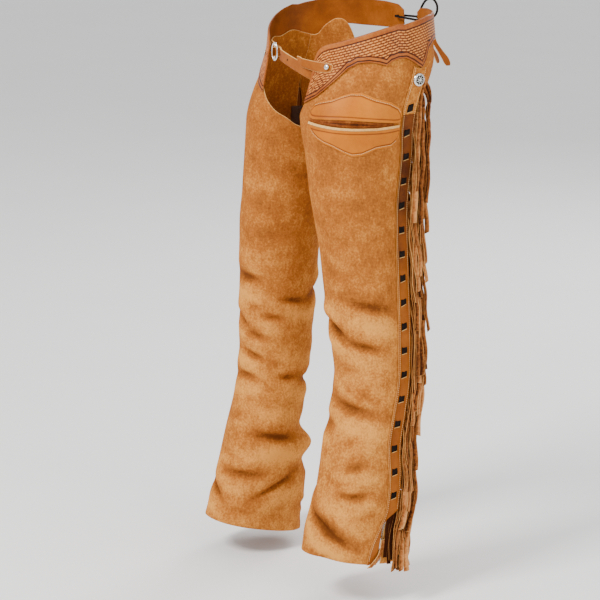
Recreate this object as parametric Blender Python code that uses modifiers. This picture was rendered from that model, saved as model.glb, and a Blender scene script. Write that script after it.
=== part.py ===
"""Fringed suede chaps as worn: two open legs, tooled yokes, laced side bands and fringe.

Metres, +Z up. The origin is the middle of the waist. The wearer's front is -Y and
the wearer's left side is +X. Each leg is described once in its own angles: 0 faces
the other leg, 90 the front, 180 the outside and 270 the back. The right leg is the
same description with X reversed, on its own table of sections.
"""

import math
import random
from collections import namedtuple

import bmesh
import bpy
from mathutils import Matrix, Vector

# Thicknesses and clearances
SUEDE = 0.0022
YOKE_LEATHER = 0.0032
BAND_LEATHER = 0.0020
POCKET_LEATHER = 0.0016
WELT = 0.0024
STRAP_LEATHER = 0.0022
TAPE = 0.0010
THONG = 0.0018
SEAM_GAP = 0.0003
LAY_GAP = 0.0005
YOKE_LAY = 0.0008

# Leg sections: centre and half sizes across (x) and front to back (y), and the seam's angle
Section = namedtuple("Section", "z cx cy a b seam")
LEFT_SECTIONS = (
    Section(0.060, 0.093, -0.044, 0.090, 0.100, 197),
    Section(-0.050, 0.094, -0.045, 0.090, 0.100, 198),
    Section(-0.100, 0.095, -0.045, 0.089, 0.099, 205),
    Section(-0.150, 0.098, -0.045, 0.083, 0.092, 210),
    Section(-0.230, 0.105, -0.048, 0.075, 0.083, 210),
    Section(-0.300, 0.112, -0.044, 0.070, 0.076, 208),
    Section(-0.420, 0.122, -0.040, 0.067, 0.071, 207),
    Section(-0.470, 0.127, -0.038, 0.066, 0.066, 206),
    Section(-0.540, 0.133, -0.038, 0.064, 0.062, 204),
    Section(-0.600, 0.137, -0.048, 0.065, 0.063, 200),
    Section(-0.650, 0.142, -0.061, 0.066, 0.066, 200),
    Section(-0.710, 0.147, -0.070, 0.066, 0.070, 207),
    Section(-0.760, 0.150, -0.081, 0.067, 0.077, 208),
    Section(-0.800, 0.152, -0.090, 0.067, 0.082, 201),
    Section(-0.870, 0.155, -0.097, 0.068, 0.091, 195),
)
RIGHT_SECTIONS = (
    Section(0.060, 0.093, -0.044, 0.090, 0.100, 197),
    Section(-0.050, 0.094, -0.045, 0.090, 0.100, 198),
    Section(-0.100, 0.095, -0.045, 0.089, 0.099, 205),
    Section(-0.150, 0.098, -0.054, 0.083, 0.092, 210),
    Section(-0.230, 0.105, -0.066, 0.075, 0.083, 210),
    Section(-0.300, 0.112, -0.076, 0.070, 0.076, 208),
    Section(-0.420, 0.122, -0.078, 0.067, 0.071, 207),
    Section(-0.540, 0.133, -0.077, 0.064, 0.067, 204),
    Section(-0.600, 0.137, -0.082, 0.064, 0.065, 200),
    Section(-0.650, 0.142, -0.089, 0.065, 0.067, 200),
    Section(-0.710, 0.147, -0.095, 0.067, 0.075, 207),
    Section(-0.760, 0.150, -0.097, 0.068, 0.084, 208),
    Section(-0.800, 0.152, -0.101, 0.068, 0.091, 201),
    Section(-0.870, 0.155, -0.115, 0.068, 0.097, 195),
)

# The hips: half sizes of the ring that both yokes share, and how a leg's angles spread on it
Hip = namedtuple("Hip", "z a b")
HIPS = (
    Hip(0.100, 0.174, 0.120),
    Hip(0.020, 0.182, 0.127),
    Hip(-0.060, 0.187, 0.132),
)
HIP_SPREAD = 0.612
THIGH_LEVEL = -0.120
HIP_LEVEL = 0.020

# Folds: a trough with a puff above and below it. Tall in metres, wide in degrees, lean in m per degree
Fold = namedtuple("Fold", "z u tall wide depth lean")
LEFT_FOLDS = (
    Fold(-0.404, 157, 0.015, 46, 0.0050, -0.00030),
    Fold(-0.447, 82, 0.013, 38, 0.0120, -0.00040),
    Fold(-0.476, 148, 0.012, 28, 0.0040, -0.00020),
    Fold(-0.555, 138, 0.012, 22, 0.0030, -0.00030),
    Fold(-0.583, 118, 0.014, 62, 0.0065, -0.00020),
    Fold(-0.618, 74, 0.012, 30, 0.0050, 0.00000),
    Fold(-0.680, 150, 0.012, 24, 0.0025, 0.00000),
    Fold(-0.730, 160, 0.012, 26, 0.0040, 0.00010),
    Fold(-0.787, 118, 0.013, 46, 0.0090, -0.00070),
    Fold(-0.430, 300, 0.015, 44, 0.0080, 0.00030),
    Fold(-0.515, 262, 0.014, 34, 0.0060, -0.00020),
    Fold(-0.560, 350, 0.014, 44, 0.0060, 0.00020),
    Fold(-0.655, 292, 0.014, 40, 0.0070, 0.00030),
    Fold(-0.715, 20, 0.014, 44, 0.0060, -0.00030),
    Fold(-0.790, 262, 0.015, 42, 0.0080, 0.00030),
)
RIGHT_FOLDS = (
    Fold(-0.400, 82, 0.014, 34, 0.0060, 0.00010),
    Fold(-0.440, 2, 0.012, 26, 0.0045, 0.00010),
    Fold(-0.472, 36, 0.012, 26, 0.0040, 0.00010),
    Fold(-0.482, 98, 0.012, 24, 0.0055, 0.00040),
    Fold(-0.508, 62, 0.012, 26, 0.0040, 0.00020),
    Fold(-0.545, 70, 0.012, 36, 0.0045, 0.00030),
    Fold(-0.586, 0, 0.012, 20, 0.0040, 0.00000),
    Fold(-0.587, 84, 0.012, 34, 0.0050, 0.00000),
    Fold(-0.700, 6, 0.015, 42, 0.0065, 0.00020),
    Fold(-0.768, 52, 0.013, 36, 0.0050, 0.00010),
    Fold(-0.804, 92, 0.012, 24, 0.0060, 0.00060),
    Fold(-0.795, 2, 0.013, 30, 0.0050, -0.00070),
    Fold(-0.430, 300, 0.014, 40, 0.0060, -0.00020),
    Fold(-0.520, 262, 0.014, 34, 0.0060, 0.00020),
    Fold(-0.600, 306, 0.014, 40, 0.0055, 0.00020),
    Fold(-0.500, 160, 0.014, 34, 0.0050, 0.00020),
    Fold(-0.600, 150, 0.014, 34, 0.0055, -0.00020),
    Fold(-0.728, 298, 0.020, 50, -0.0150, 0.00000),
    Fold(-0.780, 150, 0.014, 34, 0.0070, 0.00050),
)
SEAM_CALM = 16.0

# A leg's cut: the top edge round the leg, from the crotch over the hip and down behind the seat
Edge = namedtuple("Edge", "u z")
PANEL_TOP = (
    Edge(0, -0.124),
    Edge(20, -0.117),
    Edge(34, -0.104),
    Edge(49, -0.092),
    Edge(64, -0.074),
    Edge(76, -0.054),
    Edge(86, -0.043),
    Edge(98, -0.020),
    Edge(112, 0.010),
    Edge(124, 0.021),
    Edge(148, 0.020),
    Edge(170, 0.028),
    Edge(190, 0.021),
    Edge(206, 0.018),
    Edge(216, 0.034),
    Edge(232, 0.047),
    Edge(246, 0.034),
    Edge(262, -0.030),
    Edge(282, -0.088),
    Edge(304, -0.124),
    Edge(332, -0.132),
    Edge(360, -0.124),
)
CUFF_LEVEL = -0.170
HEM_PEAK = 95.0
HEM_SEAM_LEVEL = -0.860
HEM_CLEAR = 0.004
SEAM_OPEN = 0.0050
SEAM_CLOSED = 0.0004
LEG_COLUMNS = 22
LEG_ROWS_BELOW = 27
LEG_ROWS_ABOVE = 7

# The yoke's cut: its scalloped lower edge and its upper edge
Cut = namedtuple("Cut", "u low high")
YOKE = (
    Cut(74, -0.062, 0.012),
    Cut(77, -0.059, 0.025),
    Cut(82, -0.055, 0.033),
    Cut(89, -0.049, 0.038),
    Cut(96, -0.036, 0.041),
    Cut(104, -0.018, 0.045),
    Cut(112, 0.000, 0.049),
    Cut(122, 0.010, 0.054),
    Cut(134, 0.0125, 0.060),
    Cut(145, 0.0105, 0.065),
    Cut(154, 0.0070, 0.069),
    Cut(160, 0.0140, 0.071),
    Cut(168, 0.0180, 0.074),
    Cut(178, 0.0185, 0.073),
    Cut(188, 0.0120, 0.076),
    Cut(197, 0.0045, 0.078),
    Cut(205, -0.001, 0.080),
    Cut(211, 0.010, 0.081),
    Cut(219, 0.030, 0.083),
    Cut(236, 0.040, 0.084),
    Cut(262, 0.038, 0.084),
    Cut(290, 0.038, 0.083),
    Cut(308, 0.040, 0.080),
    Cut(315, 0.047, 0.072),
)
YOKE_COLUMNS = 34
YOKE_ROWS = 3

# The pocket on the left leg
POCKET_UPPER = (
    Cut(90, -0.079, -0.067),
    Cut(93, -0.083, -0.059),
    Cut(98, -0.084, -0.055),
    Cut(111, -0.083, -0.050),
    Cut(120, -0.0825, -0.0425),
    Cut(128, -0.082, -0.038),
    Cut(139, -0.082, -0.038),
    Cut(156, -0.084, -0.047),
    Cut(174, -0.087, -0.054),
    Cut(187, -0.0895, -0.063),
    Cut(193, -0.090, -0.072),
    Cut(196, -0.088, -0.080),
)
POCKET_LIP = (
    Cut(92, -0.0935, -0.0895),
    Cut(114, -0.0965, -0.0925),
    Cut(130, -0.0985, -0.0945),
    Cut(145, -0.0995, -0.0955),
    Cut(170, -0.1000, -0.0960),
    Cut(196, -0.0985, -0.0945),
)
POCKET_LOWER = (
    Cut(95, -0.1005, -0.0945),
    Cut(99, -0.1060, -0.0955),
    Cut(103, -0.1120, -0.0962),
    Cut(109, -0.1180, -0.0970),
    Cut(116, -0.1235, -0.0975),
    Cut(126, -0.1290, -0.0990),
    Cut(137, -0.1380, -0.0998),
    Cut(146, -0.1435, -0.1002),
    Cut(156, -0.1420, -0.1005),
    Cut(171, -0.1325, -0.1007),
    Cut(180, -0.1310, -0.1005),
    Cut(189, -0.1300, -0.0998),
    Cut(195, -0.1230, -0.0992),
    Cut(198, -0.1120, -0.0990),
)
POCKET_GAPE = 0.0030

# The side band and the suede flap above it, across from the seam and standing off behind it
BAND_FRONT = -0.008
BAND_BACK = 0.019
FLAP_STAND = 9.0
FLAP_LIFT = 0.0014
BAND_STAND = 25.0
FLAP_TOPS = (0.0030, -0.0010, -0.0022)
BAND_TOP = -0.078
BAND_BOTTOM = -0.765
BandEdge = namedtuple("BandEdge", "z front back")
BAND_TOE = (
    BandEdge(-0.765, -0.0080, 0.0190),
    BandEdge(-0.774, -0.0090, 0.0060),
    BandEdge(-0.784, -0.0105, -0.0056),
    BandEdge(-0.800, -0.0150, -0.0056),
    BandEdge(-0.820, -0.0225, -0.0056),
    BandEdge(-0.845, -0.0265, -0.0056),
    BandEdge(-0.870, -0.0265, -0.0056),
)
LACE_TOP = -0.068
LACE_PITCH = 0.0419
LACE_COUNT = 17
LACE_FRONT = 0.0005
LACE_BACK = 0.0110
LACE_HALF = 0.0055
LACE_RAISE = 0.0011

# Fringe
STRANDS = 44
STRAND_WIDTH = 0.0070
STRAND_THICK = 0.0013
FRINGE_TOP = -0.016
FRINGE_BOTTOM = -0.758
FRINGE_FLOOR = -0.888
BACKING_FRONT = 0.006
BACKING_BACK = 0.0175
BACKING_THICK = 0.0015
FRINGE_GAP = 0.0006
STRAND_STEP = 0.0024
STRAND_SPREAD = 0.070
STRAND_COLUMNS = (0, 2, 1)
STRAND_LENGTH = 0.175
STRAND_VARY = 0.045
STRAND_DROP = 0.010
Column = namedtuple("Column", "z pitch")
COLUMN_PITCH = (
    Column(-0.100, 0.0110),
    Column(-0.300, 0.0078),
    Column(-0.620, 0.0078),
    Column(-0.740, 0.0115),
)

# Hem openings of the zips
ZIP_TOP = -0.110
ZIP_ROWS = 18
TAPE_TURN = 9.0
TAPE_DEEP = 0.0016
SLIDER_LEVEL = -0.818
SLIDER_HALF = 0.011
SLIDER_TURN = 2.4
SLIDER_IN = -0.0030
SLIDER_OUT = 0.0022
Pull = namedtuple("Pull", "across drop out wide")
ZIP_PULL = (
    Pull(-0.026, -0.036, 0.0086, 0.0094),
    Pull(-0.016, -0.028, 0.0080, 0.0090),
    Pull(-0.006, -0.018, 0.0066, 0.0086),
    Pull(0.000, -0.006, 0.0040, 0.0081),
    Pull(0.000, 0.006, 0.0037, 0.0081),
)

# Metal pieces
CONCHO_RADIUS = 0.0113
CONCHO_ACROSS = 0.0060
CONCHO_LEVEL = -0.020
CONCHO_CLEAR = 0.0005
RIVET_RADIUS = 0.0046
RIVET_ANGLE = 91.0
BUCKLE_CENTRE = Vector((-0.0470, -0.1250, 0.0110))
BUCKLE_TALL = 0.0150
BUCKLE_WIDE = 0.0090
BUCKLE_WIRE = 0.0014
BUCKLE_BAR = 0.0010

# The lacing behind, its knot and the thong tails that hang from it
LACE_RADIUS = 0.0020
LACE_HOLE = 0.0034
LACE_LEVEL = 0.060
LACE_ANGLE = 308.0
KNOT_CENTRE = Vector((0.0, 0.1420, 0.0600))
KNOT_RADIUS = 0.0065
KNOT_TALL = 1.1
Stop = namedtuple("Stop", "t x y z")
Tail = namedtuple("Tail", "x y z half turn")
LACE_TAIL = (
    Tail(0.00255, 0.00447, -0.00377, 0.0016, 0.0),
    Tail(0.0042, 0.0074, -0.0062, 0.0022, 0.2),
    Tail(0.0062, 0.0140, -0.0110, 0.0032, 0.7),
    Tail(0.0090, 0.0200, -0.0220, 0.0036, 1.0),
    Tail(0.0120, 0.0240, -0.0420, 0.0036, 1.0),
    Tail(0.0140, 0.0340, -0.0580, 0.0042, 1.0),
    Tail(0.0160, 0.0440, -0.0720, 0.0055, 1.0),
    Tail(0.0170, 0.0490, -0.0820, 0.0052, 1.0),
    Tail(0.0175, 0.0510, -0.0870, 0.0030, 1.0),
)
TAIL_AT_KNOT = Vector((0.87, -0.49, 0.0))
TAIL_HANGING = Vector((0.45, 0.89, 0.10))
LACE_LOOP = (
    (0.002, 0.004, 0.019),
    (0.004, 0.012, 0.030),
    (0.006, 0.024, 0.031),
    (0.006, 0.033, 0.020),
    (0.005, 0.033, 0.006),
    (0.003, 0.024, -0.003),
    (0.001, 0.014, -0.0025),
    (0.001, 0.0070, -0.0005),
)

Side = namedtuple("Side", "name sign sections folds hem_mid hem_lift")
LEFT = Side("left", 1.0, LEFT_SECTIONS, LEFT_FOLDS, -0.852, 0.018)
RIGHT = Side("right", -1.0, RIGHT_SECTIONS, RIGHT_FOLDS, -0.878, 0.022)

Finish = namedtuple("Finish", "name colour rough metal")
SUEDE_FINISH = Finish("golden_suede", (0.62, 0.32, 0.11), 0.95, 0.0)
SMOOTH_FINISH = Finish("smooth_tan_leather", (0.50, 0.21, 0.06), 0.55, 0.0)
TOOLED_FINISH = Finish("tooled_leather", (0.46, 0.18, 0.06), 0.50, 0.0)
WELT_FINISH = Finish("cut_edge_leather", (0.86, 0.66, 0.42), 0.70, 0.0)
LACE_FINISH = Finish("dark_lace", (0.035, 0.022, 0.018), 0.60, 0.0)
TAPE_FINISH = Finish("zip_tape", (0.10, 0.06, 0.04), 0.90, 0.0)
SILVER_FINISH = Finish("silver_metal", (0.78, 0.77, 0.74), 0.25, 1.0)


def clear_scene():
    """Remove every object that the file opens with."""
    for thing in list(bpy.data.objects):
        bpy.data.objects.remove(thing, do_unlink=True)


def collection(name):
    """Make a collection and link it to the scene."""
    group = bpy.data.collections.new(name)
    bpy.context.scene.collection.children.link(group)
    return group


def material(finish):
    """The Principled material of a finish, made once."""
    found = bpy.data.materials.get(finish.name)
    if found:
        return found
    made = bpy.data.materials.new(finish.name)
    made.use_nodes = True
    shader = made.node_tree.nodes["Principled BSDF"]
    shader.inputs["Base Color"].default_value = (*finish.colour, 1.0)
    shader.inputs["Roughness"].default_value = finish.rough
    shader.inputs["Metallic"].default_value = finish.metal
    return made


def smooth_step(x):
    """Ease from 0 to 1."""
    x = min(max(x, 0.0), 1.0)
    return x * x * (3.0 - 2.0 * x)


def read_table(rows, key, at, field):
    """Smooth value of one column of a table, at a place along its key column."""
    places = [getattr(row, key) for row in rows]
    values = [getattr(row, field) for row in rows]
    if places[0] > places[-1]:
        places.reverse()
        values.reverse()
    if at <= places[0]:
        return values[0]
    if at >= places[-1]:
        return values[-1]
    low = max(i for i, place in enumerate(places[:-1]) if place <= at)
    before = max(low - 1, 0)
    after = min(low + 2, len(places) - 1)
    span = places[low + 1] - places[low]
    t = (at - places[low]) / span
    rise = values[low + 1] - values[low]
    start = (values[low + 1] - values[before]) / (places[low + 1] - places[before]) * span
    end = (values[after] - values[low]) / (places[after] - places[low]) * span
    return (values[low] + t * start
            + t * t * (3.0 * rise - 2.0 * start - end)
            + t * t * t * (start + end - 2.0 * rise))


def read_line(rows, at, field):
    """Straight-line value of one column of a table keyed by angle."""
    if at <= rows[0].u:
        return getattr(rows[0], field)
    for one, two in zip(rows, rows[1:]):
        if at <= two.u:
            t = (at - one.u) / (two.u - one.u)
            return getattr(one, field) * (1.0 - t) + getattr(two, field) * t
    return getattr(rows[-1], field)


def body_point(side, u, z):
    """The smooth leg without folds: an oval that opens into the hip ring above the thigh."""
    turn = math.radians(u)
    x = read_table(side.sections, "z", z, "cx") - read_table(side.sections, "z", z, "a") * math.cos(turn)
    y = read_table(side.sections, "z", z, "cy") - read_table(side.sections, "z", z, "b") * math.sin(turn)
    on_hip = smooth_step((z - THIGH_LEVEL) / (HIP_LEVEL - THIGH_LEVEL))
    if on_hip > 0.0:
        around = math.radians(90.0 + HIP_SPREAD * (u - 180.0))
        x += (read_table(HIPS, "z", z, "a") * math.sin(around) - x) * on_hip
        y += (-read_table(HIPS, "z", z, "b") * math.cos(around) - y) * on_hip
    return Vector((x, y, z))


def frame_at(side, u, z):
    """Point, direction round the leg and outward direction, before the side's reversal."""
    ahead = body_point(side, u + 1.0, z)
    behind = body_point(side, u - 1.0, z)
    along = (ahead - behind).normalized()
    return body_point(side, u, z), along, Vector((along.y, -along.x, 0.0))


def seam_angle(side, z):
    """Angle of the outer seam at a height."""
    return read_table(side.sections, "z", z, "seam")


def fold_lift(side, u, z):
    """How far the folds move the leg's wall outwards; none at the seam, which lies flat."""
    lift = 0.0
    for fold in side.folds:
        away = (u - fold.u + 180.0) % 360.0 - 180.0
        reach = away / fold.wide
        if abs(reach) >= 1.5:
            continue
        fade = math.exp(-2.0 * reach * reach)
        rise = (z - fold.z - fold.lean * away) / fold.tall
        trough = -math.exp(-rise * rise)
        puffs = 0.45 * (math.exp(-(rise - 1.7) ** 2) + math.exp(-(rise + 1.7) ** 2))
        lift += fold.depth * fade * (trough + puffs)
    from_seam = (u - seam_angle(side, z) + 180.0) % 360.0 - 180.0
    return lift * (1.0 - math.exp(-(from_seam / SEAM_CALM) ** 2))


def leg_point(side, u, z, out=0.0):
    """Point on the leg's outer face, moved outwards."""
    point, _, outward = frame_at(side, u, z)
    point = point + outward * (out + fold_lift(side, u, z))
    return Vector((side.sign * point.x, point.y, point.z))


def facing_at(side, u, z):
    """Outward direction of the leg's face, square to it both round and up."""
    up = leg_point(side, u, z + 0.004) - leg_point(side, u, z - 0.004)
    around = leg_point(side, u + 2.0, z) - leg_point(side, u - 2.0, z)
    return (around.cross(up) * side.sign).normalized()


def band_point(side, across, z, out=0.0):
    """Point on the side band's inner face: on the front panel before the seam, standing off behind it."""
    seam = seam_angle(side, z)
    point, along, outward = frame_at(side, seam, z)
    lower = smooth_step((-0.030 - z) / 0.080)
    lift = LAY_GAP + FLAP_LIFT * (1.0 - lower)
    if across < 0.0:
        radius = (body_point(side, seam + 5.0, z) - body_point(side, seam - 5.0, z)).length
        eased = LAY_GAP + (lift - LAY_GAP) * (1.0 - across / BAND_FRONT)
        return leg_point(side, seam + across / radius * 10.0, z, eased + out)
    stand = math.radians(FLAP_STAND + (BAND_STAND - FLAP_STAND) * lower)
    back = along * math.cos(stand) + outward * math.sin(stand)
    away = outward * math.cos(stand) - along * math.sin(stand)
    point = point + outward * lift + back * across + away * out
    return Vector((side.sign * point.x, point.y, point.z))


def wall(name, rows, thick, offset, finish, flip, group):
    """A sheet through rows of points, given its thickness by Solidify."""
    mesh = bpy.data.meshes.new(name)
    wide = len(rows[0])
    points = [point for row in rows for point in row]
    faces = []
    for i in range(len(rows) - 1):
        for j in range(wide - 1):
            face = (i * wide + j, i * wide + j + 1, (i + 1) * wide + j + 1, (i + 1) * wide + j)
            faces.append(face[::-1] if flip else face)
    mesh.from_pydata(points, [], faces)
    mesh.shade_smooth()
    mesh.materials.append(material(finish))
    thing = bpy.data.objects.new(name, mesh)
    group.objects.link(thing)
    shell = thing.modifiers.new("thickness", "SOLIDIFY")
    shell.thickness = thick
    shell.offset = offset
    return thing


def box_mesh(corners):
    """A six-sided block on eight corners: four round one end, then four round the other."""
    shape = bmesh.new()
    bmesh.ops.create_cube(shape, size=1.0)
    order = {(-1, -1, -1): 0, (1, -1, -1): 1, (1, 1, -1): 2, (-1, 1, -1): 3,
             (-1, -1, 1): 4, (1, -1, 1): 5, (1, 1, 1): 6, (-1, 1, 1): 7}
    for vert in shape.verts:
        key = tuple(1 if c > 0 else -1 for c in vert.co)
        vert.co = corners[order[key]]
    return face_outwards(shape)


def face_outwards(shape):
    """Turn a closed working mesh's faces outwards."""
    bmesh.ops.recalc_face_normals(shape, faces=shape.faces)
    if shape.calc_volume(signed=True) < 0.0:
        bmesh.ops.reverse_faces(shape, faces=shape.faces)
    return shape


def add_shape(target, shape):
    """Copy one working mesh into another."""
    lump = bpy.data.meshes.new("lump")
    shape.to_mesh(lump)
    shape.free()
    target.from_mesh(lump)
    bpy.data.meshes.remove(lump)


def unite(thing, shape, name, cutters):
    """Join a working mesh to an object with a Boolean union."""
    mesh = bpy.data.meshes.new(name)
    shape.to_mesh(mesh)
    shape.free()
    tool = bpy.data.objects.new(name, mesh)
    tool.hide_render = True
    tool.display_type = "WIRE"
    cutters.objects.link(tool)
    join = thing.modifiers.new("join", "BOOLEAN")
    join.operation = "UNION"
    join.solver = "EXACT"
    join.object = tool
    return tool


def make_leg(side, group):
    """One suede leg: round from the seam's rear edge to its front edge, hem to top edge."""
    rows = []
    for i in range(LEG_ROWS_BELOW + LEG_ROWS_ABOVE + 1):
        row = []
        for j in range(LEG_COLUMNS + 1):
            share = j / LEG_COLUMNS
            seam_high = seam_angle(side, 0.0)
            top = read_table(PANEL_TOP, "u", (seam_high + 360.0 * share) % 360.0, "z")
            hem = hem_level(side, seam_high + 360.0 * share)
            if i <= LEG_ROWS_BELOW:
                z = hem + (CUFF_LEVEL - hem) * i / LEG_ROWS_BELOW
            else:
                z = CUFF_LEVEL + (top - CUFF_LEVEL) * (i - LEG_ROWS_BELOW) / LEG_ROWS_ABOVE
            seam = seam_angle(side, z)
            opening = SEAM_CLOSED + (SEAM_OPEN - SEAM_CLOSED) * smooth_step((-0.055 - z) / 0.050)
            half_open = math.degrees(opening / read_table(side.sections, "z", z, "b"))
            u = seam + half_open + (360.0 - 2.0 * half_open) * share
            row.append(leg_point(side, u if u < 360.0 else u - 360.0, z))
        rows.append(row)
    return wall(side.name + "_leg", rows, SUEDE, -1.0, SUEDE_FINISH, side.sign < 0, group)


def hem_level(side, u):
    """Height of the hem, higher over the instep."""
    return side.hem_mid + side.hem_lift * math.cos(math.radians(u - HEM_PEAK))


def cut_piece(side, name, cuts, columns, rows_up, lay, thick, finish, group):
    """A piece cut to a table of lower and upper edges, laid on the leg's face."""
    first = cuts[0].u
    last = cuts[-1].u
    rows = []
    for i in range(rows_up + 1):
        row = []
        for j in range(columns + 1):
            u = first + (last - first) * j / columns
            low = read_line(cuts, u, "low")
            high = read_line(cuts, u, "high")
            share = i / rows_up
            z = low + (high - low) * share
            row.append(leg_point(side, u, z, lay(u, share)))
        rows.append(row)
    return wall(name, rows, thick, 1.0, finish, side.sign < 0, group)


def make_yoke(side, group):
    """The tooled yoke, from the front edge round the hip to the lacing at the back."""
    return cut_piece(side, side.name + "_yoke", YOKE, YOKE_COLUMNS, YOKE_ROWS,
                     lambda u, share: YOKE_LAY, YOKE_LEATHER, TOOLED_FINISH, group)


def gape(u, share):
    """How far the pocket's lip stands off, most in its middle and at its top edge."""
    across = (u - 95.0) / 102.0
    return POCKET_GAPE * math.sin(math.pi * min(max(across, 0.0), 1.0)) * share ** 2


def make_pocket(side, group):
    """Upper piece, the facing inside the mouth, the pale lip and the lower piece."""
    cut_piece(side, "pocket_upper", POCKET_UPPER, 22, 2,
              lambda u, share: LAY_GAP, POCKET_LEATHER, SMOOTH_FINISH, group)
    mouth = []
    for place in range(92, 196, 8):
        low = read_line(POCKET_LIP, place, "high") + SEAM_GAP * 2.0
        high = read_line(POCKET_UPPER, place, "low") - SEAM_GAP * 4.0
        mouth.append(Cut(place, low, high))
    cut_piece(side, "pocket_facing", mouth, 12, 1,
              lambda u, share: LAY_GAP, POCKET_LEATHER * 0.5, SMOOTH_FINISH, group)
    cut_piece(side, "pocket_lip", POCKET_LIP, 20, 1,
              lambda u, share: LAY_GAP + gape(u, 1.0), WELT, WELT_FINISH, group)
    cut_piece(side, "pocket_lower", POCKET_LOWER, 22, 3,
              lambda u, share: LAY_GAP + gape(u, share), POCKET_LEATHER, SMOOTH_FINISH, group)


def strip_rows(side, tops, z_bottom, count, places, out=0.0):
    """Rows of points down the side band, from a top height for each place across it."""
    rows = []
    for i in range(count + 1):
        rows.append([band_point(side, place, z_bottom + (top - z_bottom) * i / count, out)
                     for place, top in zip(places, tops)])
    return rows


def toe_rows(side):
    """The band's rows below the fringe, where it narrows to a facing beside the zip."""
    rows = []
    for edge in BAND_TOE[:0:-1]:
        z = max(edge.z, hem_level(side, seam_angle(side, edge.z)) + HEM_CLEAR)
        if rows and z <= rows[-1][0].z + HEM_CLEAR:
            continue
        rows.append([band_point(side, edge.front, z), band_point(side, (edge.front + edge.back) / 2.0, z),
                     band_point(side, edge.back, z)])
    return rows


def lace_block(side, z, grow):
    """One raised square of lacing on the band."""
    corners = []
    for level in (-1.0, 1.0):
        for across, out in ((LACE_FRONT, 0.5), (LACE_BACK, 0.5), (LACE_BACK, 1.0), (LACE_FRONT, 1.0)):
            raised = BAND_LEATHER * out + (LACE_RAISE if out == 1.0 else 0.0)
            corners.append(band_point(side, across, z + level * LACE_HALF * grow, raised))
    return box_mesh(corners)


def make_band(side, group, cutters):
    """The suede flap under the yoke and the smooth band below it, with their squares of lacing."""
    places = (BAND_FRONT, 0.0, BAND_BACK)
    flap = wall(side.name + "_flap", strip_rows(side, FLAP_TOPS, BAND_TOP + SEAM_GAP, 4, places),
                BAND_LEATHER, 1.0, SUEDE_FINISH, side.sign < 0, group)
    unite(flap, lace_block(side, LACE_TOP, 1.15), side.name + "_flap_lace", cutters)
    band = wall(side.name + "_band",
                toe_rows(side) + strip_rows(side, (BAND_TOP,) * 3, BAND_BOTTOM, 26, places),
                BAND_LEATHER, 1.0, SMOOTH_FINISH, side.sign < 0, group)
    squares = bmesh.new()
    for i in range(1, LACE_COUNT):
        add_shape(squares, lace_block(side, LACE_TOP - LACE_PITCH * i, 1.0))
    unite(band, squares, side.name + "_band_lace", cutters)


def strand_shape(side, root, column, length):
    """One strand: out of the backing, round an elbow and down, further out towards its tip."""
    offset = STRAND_COLUMNS[column] * read_table(COLUMN_PITCH, "z", root, "pitch")
    half = STRAND_WIDTH / 2.0
    start = BACKING_BACK - 0.004
    down = BACKING_BACK + 0.0030 + offset + half
    tip = max(root - length, FRINGE_FLOOR)
    inner = -FRINGE_GAP - BACKING_THICK + 0.0001
    far = STRAND_STEP + STRAND_SPREAD * (root - tip)
    stations = (
        (start, root + half, start, root - half, inner),
        (down + half, root + half * 0.6, down - half, root - half, inner),
        (down + half, root - STRAND_DROP, down - half, root - STRAND_DROP - 0.003, STRAND_STEP),
        (down + half * 0.8, tip + 0.004, down - half * 0.8, tip, far),
    )
    shape = bmesh.new()
    rings = []
    for s_one, z_one, s_two, z_two, out in stations:
        ring = [band_point(side, s_one, z_one, out), band_point(side, s_two, z_two, out),
                band_point(side, s_two, z_two, out + STRAND_THICK),
                band_point(side, s_one, z_one, out + STRAND_THICK)]
        rings.append([shape.verts.new(point) for point in ring])
    shape.faces.new(rings[0])
    shape.faces.new(rings[-1][::-1])
    for one, two in zip(rings, rings[1:]):
        for k in range(4):
            shape.faces.new((one[k], one[(k + 1) % 4], two[(k + 1) % 4], two[k]))
    return face_outwards(shape)


def make_fringe(side, group, cutters, seed):
    """The backing strip behind the band and the strands that hang from it."""
    chance = random.Random(seed)
    backing = wall(side.name + "_fringe",
                   strip_rows(side, (FRINGE_TOP + 0.006,) * 2, FRINGE_BOTTOM - 0.006, 26,
                              (BACKING_FRONT, BACKING_BACK), -FRINGE_GAP),
                   BACKING_THICK, -1.0, SUEDE_FINISH, side.sign < 0, group)
    strands = bmesh.new()
    for i in range(STRANDS):
        root = FRINGE_TOP + (FRINGE_BOTTOM - FRINGE_TOP) * i / (STRANDS - 1)
        length = STRAND_LENGTH + STRAND_VARY * chance.random()
        add_shape(strands, strand_shape(side, root, i % len(STRAND_COLUMNS), length))
    unite(backing, strands, side.name + "_strands", cutters)


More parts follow.
